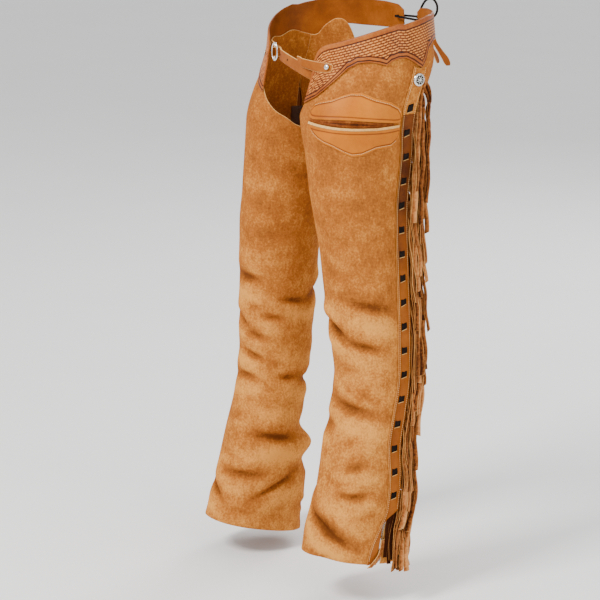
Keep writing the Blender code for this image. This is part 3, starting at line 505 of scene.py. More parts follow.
RIGHT_FOLDS = (
    Fold(-0.400, 82, 0.014, 34, 0.0060, 0.00010),
    Fold(-0.440, 2, 0.012, 26, 0.0045, 0.00010),
    Fold(-0.472, 36, 0.012, 26, 0.0040, 0.00010),
    Fold(-0.482, 98, 0.012, 24, 0.0055, 0.00040),
    Fold(-0.508, 62, 0.012, 26, 0.0040, 0.00020),
    Fold(-0.545, 70, 0.012, 36, 0.0045, 0.00030),
    Fold(-0.586, 0, 0.012, 20, 0.0040, 0.00000),
    Fold(-0.587, 84, 0.012, 34, 0.0050, 0.00000),
    Fold(-0.700, 6, 0.015, 42, 0.0065, 0.00020),
    Fold(-0.768, 52, 0.013, 36, 0.0050, 0.00010),
    Fold(-0.804, 92, 0.012, 24, 0.0060, 0.00060),
    Fold(-0.795, 2, 0.013, 30, 0.0050, -0.00070),
    Fold(-0.430, 300, 0.014, 40, 0.0060, -0.00020),
    Fold(-0.520, 262, 0.014, 34, 0.0060, 0.00020),
    Fold(-0.600, 306, 0.014, 40, 0.0055, 0.00020),
    Fold(-0.500, 160, 0.014, 34, 0.0050, 0.00020),
    Fold(-0.600, 150, 0.014, 34, 0.0055, -0.00020),
    Fold(-0.728, 298, 0.020, 50, -0.0150, 0.00000),
    Fold(-0.780, 150, 0.014, 34, 0.0070, 0.00050),
)
LEFT_CREASES = (
    Fold(-0.449, 84, 0.0045, 28, 0.0040, -0.00040),
    Fold(-0.468, 104, 0.0035, 15, 0.0028, -0.00090),
    Fold(-0.476, 140, 0.0055, 30, 0.0034, -0.00020),
    Fold(-0.405, 150, 0.0060, 44, 0.0026, -0.00030),
    Fold(-0.384, 120, 0.0070, 22, 0.0012, 0.00020),
    Fold(-0.520, 120, 0.0060, 26, 0.0012, -0.00030),
    Fold(-0.552, 112, 0.0040, 18, 0.0020, -0.00060),
    Fold(-0.566, 150, 0.0050, 18, 0.0016, -0.00050),
    Fold(-0.585, 120, 0.0060, 46, 0.0028, -0.00020),
    Fold(-0.603, 165, 0.0040, 10, 0.0010, -0.00020),
    Fold(-0.640, 128, 0.0080, 26, 0.0012, 0.00060),
    Fold(-0.660, 170, 0.0060, 14, 0.0012, 0.00080),
    Fold(-0.684, 140, 0.0050, 22, 0.0020, 0.00020),
    Fold(-0.712, 112, 0.0060, 24, 0.0014, -0.00070),
    Fold(-0.732, 142, 0.0050, 28, 0.0036, -0.00010),
    Fold(-0.766, 172, 0.0070, 12, 0.0018, 0.00000),
    Fold(-0.789, 116, 0.0038, 42, 0.0048, -0.00072),
    Fold(-0.836, 124, 0.0070, 24, 0.0026, -0.00020),
    Fold(-0.815, 175, 0.0070, 14, 0.0014, 0.00040),
    Fold(-0.300, 118, 0.0120, 40, 0.0014, 0.00020),
    Fold(-0.235, 150, 0.0140, 36, 0.0012, -0.00020),
    Fold(-0.345, 100, 0.0090, 26, 0.0014, -0.00040),
    Fold(-0.360, 160, 0.0080, 22, 0.0012, 0.00030),
    Fold(-0.180, 110, 0.0140, 30, 0.0010, 0.00040),
    Fold(-0.380, 330, 0.0070, 30, 0.0022, 0.00030),
    Fold(-0.432, 302, 0.0055, 34, 0.0034, 0.00030),
    Fold(-0.470, 258, 0.0060, 22, 0.0020, -0.00040),
    Fold(-0.517, 264, 0.0055, 28, 0.0028, -0.00020),
    Fold(-0.560, 345, 0.0055, 36, 0.0028, 0.00020),
    Fold(-0.605, 280, 0.0060, 26, 0.0020, 0.00050),
    Fold(-0.657, 290, 0.0055, 32, 0.0032, 0.00030),
    Fold(-0.690, 240, 0.0060, 18, 0.0018, -0.00040),
    Fold(-0.716, 24, 0.0055, 34, 0.0028, -0.00030),
    Fold(-0.745, 310, 0.0060, 26, 0.0022, 0.00040),
    Fold(-0.792, 262, 0.0055, 34, 0.0036, 0.00030),
    Fold(-0.835, 318, 0.0070, 30, 0.0024, -0.00030),
    Fold(-0.260, 20, 0.0120, 40, 0.0016, 0.00020),
    Fold(-0.330, 272, 0.0090, 30, 0.0018, -0.00020),
)
RIGHT_CREASES = (
    Fold(-0.401, 80, 0.0060, 28, 0.0026, 0.00010),
    Fold(-0.372, 60, 0.0080, 30, 0.0014, 0.00030),
    Fold(-0.441, 4, 0.0050, 22, 0.0024, 0.00010),
    Fold(-0.455, 60, 0.0060, 24, 0.0014, -0.00020),
    Fold(-0.473, 34, 0.0050, 22, 0.0022, 0.00010),
    Fold(-0.483, 98, 0.0035, 20, 0.0030, 0.00045),
    Fold(-0.509, 60, 0.0050, 24, 0.0024, 0.00020),
    Fold(-0.546, 70, 0.0045, 30, 0.0028, 0.00030),
    Fold(-0.562, 20, 0.0060, 22, 0.0014, -0.00020),
    Fold(-0.587, 84, 0.0050, 28, 0.0028, 0.00000),
    Fold(-0.588, 2, 0.0050, 18, 0.0022, 0.00000),
    Fold(-0.630, 50, 0.0080, 30, 0.0014, 0.00040),
    Fold(-0.662, 84, 0.0070, 24, 0.0016, -0.00040),
    Fold(-0.701, 8, 0.0060, 34, 0.0032, 0.00020),
    Fold(-0.735, 76, 0.0060, 26, 0.0018, 0.00030),
    Fold(-0.769, 50, 0.0050, 30, 0.0026, 0.00010),
    Fold(-0.796, 4, 0.0045, 24, 0.0028, -0.00070),
    Fold(-0.805, 92, 0.0035, 20, 0.0034, 0.00065),
    Fold(-0.840, 40, 0.0070, 30, 0.0020, 0.00020),
    Fold(-0.260, 70, 0.0140, 40, 0.0014, 0.00020),
    Fold(-0.320, 40, 0.0110, 34, 0.0016, -0.00020),
    Fold(-0.200, 30, 0.0140, 36, 0.0012, 0.00030),
    Fold(-0.431, 300, 0.0055, 32, 0.0028, -0.00020),
    Fold(-0.480, 240, 0.0060, 24, 0.0020, 0.00030),
    Fold(-0.521, 262, 0.0055, 28, 0.0028, 0.00020),
    Fold(-0.601, 306, 0.0055, 32, 0.0026, 0.00020),
    Fold(-0.650, 262, 0.0060, 24, 0.0022, -0.00030),
    Fold(-0.501, 160, 0.0055, 28, 0.0024, 0.00020),
    Fold(-0.601, 150, 0.0055, 28, 0.0026, -0.00020),
    Fold(-0.690, 160, 0.0060, 24, 0.0020, 0.00040),
    Fold(-0.781, 150, 0.0050, 28, 0.0032, 0.00050),
    Fold(-0.790, 262, 0.0060, 30, 0.0030, 0.00030),
    Fold(-0.850, 300, 0.0070, 30, 0.0024, 0.00030),
)
PANEL_TOP = (
    Edge(0, -0.124), Edge(20, -0.117), Edge(34, -0.104), Edge(49, -0.092), Edge(64, -0.074),
    Edge(76, -0.054), Edge(86, -0.043), Edge(98, -0.020), Edge(112, 0.010), Edge(124, 0.021),
    Edge(148, 0.020), Edge(170, 0.028), Edge(190, 0.021), Edge(206, 0.018), Edge(216, 0.034),
    Edge(232, 0.047), Edge(246, 0.034), Edge(262, -0.030), Edge(282, -0.088), Edge(304, -0.124),
    Edge(332, -0.132), Edge(360, -0.124),
)
BAND_TOE = (
    Toe(-0.765, -0.0080, 0.0190), Toe(-0.774, -0.0090, 0.0060), Toe(-0.784, -0.0105, -0.0056),
    Toe(-0.800, -0.0150, -0.0056), Toe(-0.820, -0.0225, -0.0056), Toe(-0.845, -0.0265, -0.0056),
    Toe(-0.870, -0.0265, -0.0056),
)


@dataclass(frozen=True)
class LegForm:
    """One leg's surface: sections, folds, hips, hem and the side band's lie."""

    name: str
    sign: float
    sections: tuple[Section, ...]
    folds: tuple[Fold, ...]
    creases: tuple[Fold, ...]
    hem_mid: float
    hem_lift: float
    hem_peak: float = 95.0
    hip_levels: tuple[float, ...] = (0.100, 0.020, -0.060)
    hip_across: tuple[float, ...] = (0.174, 0.182, 0.187)
    hip_deep: tuple[float, ...] = (0.120, 0.127, 0.132)
    hip_spread: float = 0.612
    thigh_level: float = -0.120
    hip_level: float = 0.020
    seam_calm: float = 16.0
    core: float = 0.22
    lay: float = 0.0005
    flap_lift: float = 0.0014
    flap_stand: float = 9.0
    band_stand: float = 25.0
    band_front: float = -0.008

    def column(self, field: str, z: np.ndarray) -> np.ndarray:
        """One column of the sections at each height.

        Args:
            field: the column's name.
            z: heights.

        Returns:
            The column's smooth value.
        """
        return stroke([s.z for s in self.sections], [getattr(s, field) for s in self.sections], z)

    def plain(self, u: np.ndarray, z: np.ndarray) -> np.ndarray:
        """The leg without folds: an oval that opens into the hip ring above the thigh.

        Args:
            u: angles.
            z: heights.

        Returns:
            Points, before the right leg's reversal.
        """
        u, z = np.broadcast_arrays(np.asarray(u, float), np.asarray(z, float))
        turn = np.radians(u)
        x = self.column("cx", z) - self.column("a", z) * np.cos(turn)
        y = self.column("cy", z) - self.column("b", z) * np.sin(turn)
        hip = ease((z - self.thigh_level) / (self.hip_level - self.thigh_level))
        around = np.radians(90.0 + self.hip_spread * (u % 360.0 - 180.0))
        hip_x = stroke(self.hip_levels, self.hip_across, z) * np.sin(around)
        hip_y = -stroke(self.hip_levels, self.hip_deep, z) * np.cos(around)
        return np.stack([x + (hip_x - x) * hip, y + (hip_y - y) * hip, z], axis=-1)

    def compass(self, u: np.ndarray, z: np.ndarray) -> tuple[np.ndarray, np.ndarray]:
        """Level directions round the leg and out of it.

        Args:
            u: angles.
            z: heights.

        Returns:
            The direction round the leg and the outward one.
        """
        along = self.plain(np.asarray(u) + 1.0, z) - self.plain(np.asarray(u) - 1.0, z)
        along /= np.linalg.norm(along, axis=-1, keepdims=True)
        outward = np.stack([along[..., 1], -along[..., 0], np.zeros_like(along[..., 0])], axis=-1)
        return along, outward

    def seam(self, z: np.ndarray) -> np.ndarray:
        """Angle of the outer seam at each height."""
        return self.column("seam", z)

    def ripple(self, rows: tuple[Fold, ...], u: np.ndarray, z: np.ndarray) -> np.ndarray:
        """How far a table of folds moves the wall outwards.

        Args:
            rows: the folds.
            u: angles.
            z: heights.

        Returns:
            The move in metres.
        """
        lift = np.zeros(np.broadcast(u, z).shape)
        for fold in rows:
            away = (u - fold.u + 180.0) % 360.0 - 180.0
            reach = away / fold.wide
            fade = np.where(np.abs(reach) < 1.5, np.exp(-2.0 * reach * reach), 0.0)
            rise = (z - fold.z - fold.lean * away) / fold.tall
            puffs = 0.45 * (np.exp(-(rise - 1.7) ** 2) + np.exp(-(rise + 1.7) ** 2))
            core = (self.core if fold.depth > 0.0 else 0.0) * np.exp(-(rise / 0.4) ** 2)
            lift = lift + fold.depth * fade * (puffs - np.exp(-rise * rise) - core)
        return lift

    def lift(self, u: np.ndarray, z: np.ndarray) -> np.ndarray:
        """All folds, fine creases and the slack of the hide; the seam lies flat.

        Args:
            u: angles.
            z: heights.

        Returns:
            The move outwards in metres.
        """
        u, z = np.broadcast_arrays(np.asarray(u, float), np.asarray(z, float))
        turn = np.radians(u)
        below = ease((-0.15 - z) / 0.2)
        slack = 0.0007 * np.sin(3.0 * turn + 41.0 * z) * np.cos(2.0 * turn - 23.0 * z + 1.1)
        slack = slack + 0.0006 * np.sin(5.0 * turn - 67.0 * z + 0.4 + 2.0 * np.sin(19.0 * z))
        moved = self.ripple(self.folds, u, z) + self.ripple(self.creases, u, z) + slack * below
        from_seam = (u - self.seam(z) + 180.0) % 360.0 - 180.0
        return moved * (1.0 - np.exp(-(from_seam / self.seam_calm) ** 2))

    def tone(self, u: np.ndarray, z: np.ndarray) -> np.ndarray:
        """Painted shade and highlight on the nap: painted shade down in a fold, painted highlight on the puff under
        it.

        Args:
            u: angles.
            z: heights.

        Returns:
            Below 0 where darker and above 0 where lighter.
        """
        tone = np.zeros(np.broadcast(u, z).shape)
        for fold in self.folds + self.creases:
            away = (u - fold.u + 180.0) % 360.0 - 180.0
            reach = away / (fold.wide * 1.3)
            fade = np.where(np.abs(reach) < 1.5, np.exp(-2.0 * reach * reach), 0.0)
            rise = (z - fold.z - fold.lean * away) / fold.tall
            # Painted highlight on the puffs below and above a fold, painted shade down its trough.
            painted_puff_light = 0.95 * np.exp(-((rise + 2.2) / 1.2) ** 2) + 0.40 * np.exp(-((rise - 2.4) / 1.2) ** 2)
            trough = 0.80 * np.exp(-(rise / 1.5) ** 2) + 0.40 * np.exp(-(rise / 0.5) ** 2)
            strong = float(np.clip(fold.depth / 0.006, -0.4, 1.5))
            tone = tone + strong * fade * (painted_puff_light - trough)
        return np.clip(tone, -1.7, 1.2)

    def point(self, u: np.ndarray, z: np.ndarray, out: np.ndarray | float = 0.0) -> np.ndarray:
        """Points on the leg's face, moved outwards.

        Args:
            u: angles.
            z: heights.
            out: metres off the face.

        Returns:
            Points in the model's frame.
        """
        u, z = np.broadcast_arrays(np.asarray(u, float), np.asarray(z, float))
        _, outward = self.compass(u, z)
        move = np.asarray(out + self.lift(u, z))[..., None]
        return self.turned(self.plain(u, z) + outward * move)

    def turned(self, points: np.ndarray) -> np.ndarray:
        """Points with the right leg's reversal."""
        return points * np.array([self.sign, 1.0, 1.0])

    def strip(self, across: np.ndarray, z: np.ndarray, out: np.ndarray | float = 0.0) -> np.ndarray:
        """Points on the side band's inner face: on the panel before the seam, standing off behind it.

        Args:
            across: metres behind the seam.
            z: heights.
            out: metres off the band's inner face.

        Returns:
            Points in the model's frame.
        """
        across, z = np.broadcast_arrays(np.asarray(across, float), np.asarray(z, float))
        out = np.broadcast_to(out, z.shape)
        seam = self.seam(z)
        along, outward = self.compass(seam, z)
        lower = ease((-0.030 - z) / 0.080)
        lift = self.lay + self.flap_lift * (1.0 - lower)
        stand = np.radians(self.flap_stand + (self.band_stand - self.flap_stand) * lower)[..., None]
        back = along * np.cos(stand) + outward * np.sin(stand)
        away = outward * np.cos(stand) - along * np.sin(stand)
        behind = self.plain(seam, z) + outward * lift[..., None] + back * across[..., None] + away * out[..., None]
        radius = np.linalg.norm(self.plain(seam + 5.0, z) - self.plain(seam - 5.0, z), axis=-1)
        eased = self.lay + (lift - self.lay) * np.clip(1.0 - across / self.band_front, 0.0, 1.0)
        front = self.point(seam + np.minimum(across, 0.0) / radius * 10.0, z, eased + out)
        return np.where((across < 0.0)[..., None], front, self.turned(behind))

    def hem(self, u: np.ndarray) -> np.ndarray:
        """Height of the hem, higher over the instep."""
        return self.hem_mid + self.hem_lift * np.cos(np.radians(np.asarray(u) - self.hem_peak))

    def spot(self, u: float, z: float, out: float = 0.0) -> Vector:
        """One point of the face as a vector."""
        return Vector(self.point(np.array([u]), np.array([z]), out)[0])


LEFT = LegForm("left", 1.0, LEFT_SECTIONS, LEFT_FOLDS, LEFT_CREASES, -0.852, 0.018)
RIGHT = LegForm("right", -1.0, RIGHT_SECTIONS, RIGHT_FOLDS, RIGHT_CREASES, -0.878, 0.022)


# Mesh tools


class Bench:
    """Joins numbered points and faces into one mesh, with a finish and a value for each."""

    def __init__(self) -> None:
        """Start empty."""
        self.points: list[np.ndarray] = []
        self.values: list[np.ndarray] = []
        self.faces: list[tuple[int, ...]] = []
        self.slots: list[int] = []
        self.flat: list[bool] = []
        self.count = 0

    def add(self, points: np.ndarray, faces: list[tuple[int, ...]], slot: int = 0,
            value: np.ndarray | float = 0.0, flat: bool = False) -> int:
        """Add points and the faces between them.

        Args:
            points: rows of x, y, z.
            faces: faces in these points' own numbers.
            slot: the finish's place in the list.
            value: the crease value (painted shade and highlight as well as own tone), one or one a point.
            flat: whether the faces are shaded flat.

        Returns:
            The first point's number in the whole mesh.
        """
        start = self.count
        points = np.asarray(points, float).reshape(-1, 3)
        self.points.append(points)
        self.values.append(np.broadcast_to(np.asarray(value, float).reshape(-1), (len(points),)))
        self.faces += [tuple(start + i for i in face) for face in faces]
        self.slots += [slot] * len(faces)
        self.flat += [flat] * len(faces)
        self.count += len(points)
        return start

    def sew(self, name: str, finishes: list[Leather | Metal | Thread]) -> bpy.types.Object:
        """Make the object.

        Args:
            name: its name.
            finishes: its finishes, in slot order.

        Returns:
            The object, linked to the scene and riding the body.
        """
        mesh = bpy.data.meshes.new(name)
        mesh.from_pydata(np.vstack(self.points).tolist(), [], self.faces)
        mesh.polygons.foreach_set("material_index", self.slots)
        mesh.polygons.foreach_set("use_smooth", [not flat for flat in self.flat])
        crease = mesh.attributes.new("crease", "FLOAT", "POINT")
        crease.data.foreach_set("value", np.concatenate(self.values).astype(np.float32))
        for finish in finishes:
            mesh.materials.append(SHELF.get(finish))
        thing = bpy.data.objects.new(name, mesh)
        bpy.context.scene.collection.objects.link(thing)
        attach(thing, BODY)
        return thing


def shell(bench: Bench, face: np.ndarray, thick: float, sign: float, crease: np.ndarray | float = 0.0,
          slots: tuple[int, int, int] = (0, 1, 0), inner: tuple[np.ndarray, float] | None = None) -> None:
    """Close a grid of face points into a leather wall with a rounded cut edge.

    Args:
        bench: where it goes.
        face: rows by columns by three.
        thick: the wall's thickness.
        sign: 1 where columns run to the left seen from outside with rows upwards, else -1.
        crease: the crease value at each point, which carries painted shade and highlight as well as own tone.
        slots: finishes of the face, the cut edge and the back.
        inner: the back's own points and crease value, where it isn't the face moved in.
    """
    rows, cols = face.shape[:2]
    across = np.gradient(face, axis=1)
    up = np.gradient(face, axis=0)
    normal = np.cross(across, up) * sign
    normal /= np.linalg.norm(normal, axis=2, keepdims=True) + 1e-12
    back = face - normal * thick if inner is None else inner[0]
    values = np.broadcast_to(crease, (rows, cols)).reshape(-1)
    under_values = values if inner is None else inner[1]

    def wound(quad: tuple[int, ...]) -> tuple[int, ...]:
        """Turn a face the right way for this leg."""
        return quad if sign > 0 else quad[::-1]

    quads = [(i * cols + j, i * cols + j + 1, (i + 1) * cols + j + 1, (i + 1) * cols + j)
             for i in range(rows - 1) for j in range(cols - 1)]
    base = bench.add(face, [wound(q) for q in quads], slots[0], values)
    under = bench.add(back, [wound(q[::-1]) for q in quads], slots[2], under_values)
    loop = [(0, j) for j in range(cols)]
    loop += [(i, cols - 1) for i in range(1, rows)]
    loop += [(rows - 1, j) for j in range(cols - 2, -1, -1)]
    loop += [(i, 0) for i in range(rows - 2, 0, -1)]
    outs = []
    for i, j in loop:
        way = np.zeros(3)
        if i == 0:
            way -= up[i, j] / (np.linalg.norm(up[i, j]) + 1e-12)
        if i == rows - 1:
            way += up[i, j] / (np.linalg.norm(up[i, j]) + 1e-12)
        if j == 0:
            way -= across[i, j] / (np.linalg.norm(across[i, j]) + 1e-12)
        if j == cols - 1:
            way += across[i, j] / (np.linalg.norm(across[i, j]) + 1e-12)
        outs.append((face[i, j] + back[i, j]) / 2.0 + way / (np.linalg.norm(way) + 1e-12) * thick * 0.3)
    rim = bench.add(np.array(outs), [], slots[1], [values[i * cols + j] for i, j in loop])
    size = len(loop)
    for k in range(size):
        after = (k + 1) % size
        one = loop[k][0] * cols + loop[k][1]
        two = loop[after][0] * cols + loop[after][1]
        bench.faces.append(wound((base + two, base + one, rim + k, rim + after)))
        bench.faces.append(wound((rim + after, rim + k, under + one, under + two)))
        bench.slots += [slots[1]] * 2
        bench.flat += [True] * 2


def tube(bench: Bench, path: np.ndarray, radius: np.ndarray | float, sides: int = 8, slot: int = 0,
         value: float = 0.0) -> None:
    """A closed round tube along a path.

    Args:
        bench: where it goes.
        path: points along it.
        radius: its radius, one or one a point.
        sides: faces round it.
        slot: its finish.
        value: the crease value.
    """
    path = np.asarray(path, float)
    radius = np.broadcast_to(radius, (len(path),))
    ahead = np.gradient(path, axis=0)
    ahead /= np.linalg.norm(ahead, axis=1, keepdims=True)
    side = np.cross(ahead[0], [0.3, 0.2, 0.9])
    points = []
    for k, centre in enumerate(path):
        side = side - ahead[k] * np.dot(side, ahead[k])
        side = side / np.linalg.norm(side)
        other = np.cross(ahead[k], side)
        for s in range(sides):
            turn = 2.0 * math.pi * s / sides
            points.append(centre + (side * math.cos(turn) + other * math.sin(turn)) * radius[k])
    faces = [(k * sides + s, k * sides + (s + 1) % sides, (k + 1) * sides + (s + 1) % sides, (k + 1) * sides + s)
             for k in range(len(path) - 1) for s in range(sides)]
    faces.append(tuple(range(sides))[::-1])
    faces.append(tuple(range((len(path) - 1) * sides, len(path) * sides)))
    bench.add(np.array(points), faces, slot, value)


def smooth_path(route: list[tuple[float, float, float]], count: int) -> np.ndarray:
    """Evenly keyed points on a smooth curve through a route's own points.

    Args:
        route: the route.
        count: how many stretches.

    Returns:
        The points.
    """
    keys = list(range(len(route)))
    at = np.linspace(0, len(route) - 1, count + 1)
    return np.stack([stroke(keys, [p[k] for p in route], at) for k in range(3)], axis=1)


def stitch_line(bench: Bench, path: np.ndarray, lifts: np.ndarray, pitch: float, radius: float,
                slot: int = 0) -> None:
    """A row of stitches along a line on a face.

    Args:
        bench: where it goes.
        path: closely spaced points on the face.
        lifts: outward directions at those points.
        pitch: one stitch and its gap.
        radius: the thread's radius.
        slot: its finish.
    """
    steps = np.linalg.norm(np.diff(path, axis=0), axis=1)
    along = np.concatenate([[0.0], np.cumsum(steps)])
    count = int(along[-1] / pitch)
    ring = [(math.cos(t), math.sin(t)) for t in (math.pi * 2.0 * k / 5 for k in range(5))]
    for i in range(count):
        ends = [(i + 0.08) * pitch, (i + 0.30) * pitch, (i + 0.62) * pitch, (i + 0.84) * pitch]
        sizes = (0.35, 1.0, 1.0, 0.35)
        heights = (-0.3, 0.55, 0.55, -0.3)
        centres = [np.array([np.interp(s, along, path[:, k]) for k in range(3)]) for s in ends]
        lift = np.array([np.interp(ends[1], along, lifts[:, k]) for k in range(3)])
        lift /= np.linalg.norm(lift)
        ahead = centres[-1] - centres[0]
        ahead /= np.linalg.norm(ahead) + 1e-12
        side = np.cross(lift, ahead)
        points = []
        for centre, size, height in zip(centres, sizes, heights):
            middle = centre + lift * radius * height
            points += [middle + (side * c + lift * s) * radius * size for c, s in ring]
        faces = [(k * 5 + s, (k + 1) * 5 + s, (k + 1) * 5 + (s + 1) % 5, k * 5 + (s + 1) % 5)
                 for k in range(3) for s in range(5)]
        faces.append((0, 1, 2, 3, 4))
        faces.append((19, 18, 17, 16, 15))
        bench.add(np.array(points), faces, slot, 0.0)


def area_of(grid: np.ndarray) -> float:
    """Area of a grid of points.

    Args:
        grid: rows by columns by three.

    Returns:
        Square metres.
    """
    one = grid[1:, 1:] - grid[:-1, :-1]
    two = grid[1:, :-1] - grid[:-1, 1:]
    return float(np.linalg.norm(np.cross(one, two), axis=2).sum() / 2.0)


def declare_sheet(thing: bpy.types.Object, grid: np.ndarray) -> None:
    """Args:
        thing: the sheet.
        grid: its face.
    """
    area = area_of(grid)
    widths = np.linalg.norm(np.diff(grid, axis=1), axis=2).sum(axis=1)
    lengths = np.linalg.norm(np.diff(grid, axis=0), axis=2).sum(axis=0)
    width = float(widths.max())
    length = float(lengths.max())
    width, length = max(width, 0.0105), max(length, 0.0105)
    share = min(area, width * length)
    if share < 0.31 * width * length:
        length = share / (0.31 * width)
    LOG.info("%s: cut %.0f x %.0f mm, %.0f cm2", thing.name, width * 1000, length * 1000, area * 1e4)


# Sub-assemblies


@dataclass
class SuedeLeg:
    """One suede leg: the creased panel with its pale cut edges."""

    form: LegForm
    columns: int = 170
    rows_below: int = 210
    rows_above: int = 46
    thick: float = 0.0022
    cuff_level: float = -0.170
    seam_open: float = 0.0050
    seam_closed: float = 0.0004

    def grid(self) -> tuple[np.ndarray, np.ndarray]:
        """Face points and crease values, which hold painted fold shade and highlight, from the seam's rear edge round
        to its front edge.

        Returns:
            The grid and its crease values.
        """
        form = self.form
        share = np.linspace(0.0, 1.0, self.columns + 1)[None, :]
        round_at = (form.seam(np.array([0.0])) + 360.0 * share)
        top = stroke([e.u for e in PANEL_TOP], [e.z for e in PANEL_TOP], round_at % 360.0)
        hem = form.hem(round_at)
        low = np.linspace(0.0, 1.0, self.rows_below + 1)[:, None]
        high = np.linspace(0.0, 1.0, self.rows_above + 1)[1:, None]
        z = np.vstack([hem + (self.cuff_level - hem) * low, self.cuff_level + (top - self.cuff_level) * high])
        opening = self.seam_closed + (self.seam_open - self.seam_closed) * ease((-0.055 - z) / 0.050)
        half = np.degrees(opening / form.column("b", z))
        u = form.seam(z) + half + (360.0 - 2.0 * half) * share
        curl = -0.0010 * np.exp(-np.maximum(z - hem, 0.0) / 0.006)
        points = form.point(u, z, curl)
        # Painted fold shade and highlight from tone(), with a lighter tone below the knee.
        crease = form.tone(u, z) + 0.30 * ease((-0.30 - z) / 0.22) - 0.02
        return points, crease

    def build(self) -> tuple[bpy.types.Object, np.ndarray]:
        """Build the panel.

        Returns:
            The piece and its face grid.
        """
        points, crease = self.grid()
        bench = Bench()
        shell(bench, points, self.thick, self.form.sign, crease)
        thing = bench.sew(self.form.name + "_suede_leg", [SUEDE, CUT_EDGE])
        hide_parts(self.form.name + "_leg")
        return thing, points


YOKE_CUT = (
    Cut(74, -0.062, 0.012), Cut(77, -0.059, 0.025), Cut(82, -0.055, 0.033), Cut(89, -0.049, 0.038),
    Cut(96, -0.036, 0.041), Cut(104, -0.018, 0.045), Cut(112, 0.000, 0.049), Cut(122, 0.010, 0.054),
    Cut(134, 0.0125, 0.060), Cut(145, 0.0105, 0.065), Cut(154, 0.0070, 0.069), Cut(160, 0.0140, 0.071),
    Cut(168, 0.0180, 0.074), Cut(178, 0.0185, 0.073), Cut(188, 0.0120, 0.076), Cut(197, 0.0045, 0.078),
    Cut(205, -0.001, 0.080), Cut(211, 0.010, 0.081), Cut(219, 0.030, 0.083), Cut(236, 0.040, 0.084),
    Cut(262, 0.038, 0.084), Cut(290, 0.038, 0.083), Cut(308, 0.040, 0.080), Cut(315, 0.047, 0.072),
)


@dataclass
class TooledYoke:
    """A yoke with a stamped basket weave inside a plain border and two scored lines."""

    form: LegForm
    columns: int = 400
    rows: int = 64
    lay: float = 0.0008
    thick: float = 0.0032
    relief: float = 0.00075
    cell_long: float = 0.0086
    cell_tall: float = 0.0044
    top_border: float = 0.0095
    low_border: float = 0.0105
    end_border: float = 0.0090

    def stamp(self, along: np.ndarray, down: np.ndarray) -> np.ndarray:
        """Height of the basket stamp, from 0 in its cuts to 1 on its bars.

        Args:
            along: metres along the yoke.
            down: metres below its upper edge.

        Returns:
            The height.
        """
        row = np.floor(down / self.cell_tall)
        shift = (row % 2.0) * 0.5
        place = along / self.cell_long + shift
        cell = place - np.floor(place)
        tall = down / self.cell_tall - row
        bar = np.sin(np.pi * np.clip(tall, 0.0, 1.0)) ** 0.9
        ends = np.clip(np.abs(cell - 0.5) * 2.0, 0.0, 1.0)
        pinch = 1.0 - 0.85 * ease((ends - 0.62) / 0.30)
        post = 0.55 * ease((ends - 0.80) / 0.12)
        return np.clip(bar * pinch + post * np.sin(np.pi * tall) ** 0.5, 0.0, 1.0)

    def build(self) -> tuple[bpy.types.Object, np.ndarray]:
        """Build the yoke.

        Returns:
            The piece and its face grid.
        """
        form = self.form
        u = np.linspace(YOKE_CUT[0].u, YOKE_CUT[-1].u, self.columns + 1)[None, :]
        keys = [c.u for c in YOKE_CUT]
        low = np.interp(u, keys, [c.low for c in YOKE_CUT])
        high = np.interp(u, keys, [c.high for c in YOKE_CUT])
        soften = np.array([1.0, 4.0, 6.0, 4.0, 1.0]) / 16.0
        low[0, 2:-2] = np.convolve(low[0], soften, "valid")
        high[0, 2:-2] = np.convolve(high[0], soften, "valid")
        share = np.linspace(0.0, 1.0, self.rows + 1)[:, None]
        z = low + (high - low) * share
        middle = form.point(u[0], (low[0] + high[0]) / 2.0)
        steps = np.linalg.norm(np.diff(middle, axis=0), axis=1)
        along = np.concatenate([[0.0], np.cumsum(steps)])[None, :]
        slope_low = np.gradient(low[0]) / np.maximum(np.gradient(along[0]), 1e-6)
        slope_high = np.gradient(high[0]) / np.maximum(np.gradient(along[0]), 1e-6)
        above = (z - low) / np.sqrt(1.0 + slope_low ** 2)[None, :]
        below = (high - z) / np.sqrt(1.0 + slope_high ** 2)[None, :]
        inside = np.minimum(np.minimum(above - self.low_border, below - self.top_border),
                            np.minimum(along, along[0, -1] - along) - self.end_border)
        field = ease(inside / 0.0008)
        height = field * (self.stamp(along + 0.15 * below, below) - 1.0)
        for depth_at, gap in ((above, 0.0032), (above, self.low_border - 0.0008), (below, self.top_border - 0.0008)):
            height = height - 1.0 * np.exp(-((depth_at - gap) / 0.0009) ** 2)
        out = self.lay + self.thick + self.relief * height
        rounded = np.minimum(np.minimum(above, below), np.minimum(along, along[0, -1] - along))
        out = out - 0.0008 * np.exp(-np.maximum(rounded, 0.0) / 0.0010)
        face = form.point(u, z, out)
        shade = np.clip(1.0 + height, 0.0, 1.0) * (0.62 + 0.38 * field)
        bench = Bench()
        shell(bench, face, self.thick, form.sign, shade, (0, 1, 2), (form.point(u, z, self.lay), 0.0))
        thing = bench.sew(form.name + "_tooled_yoke", [TOOLED, DARK_EDGE, BAND])
        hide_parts(form.name + "_yoke")
        return thing, face


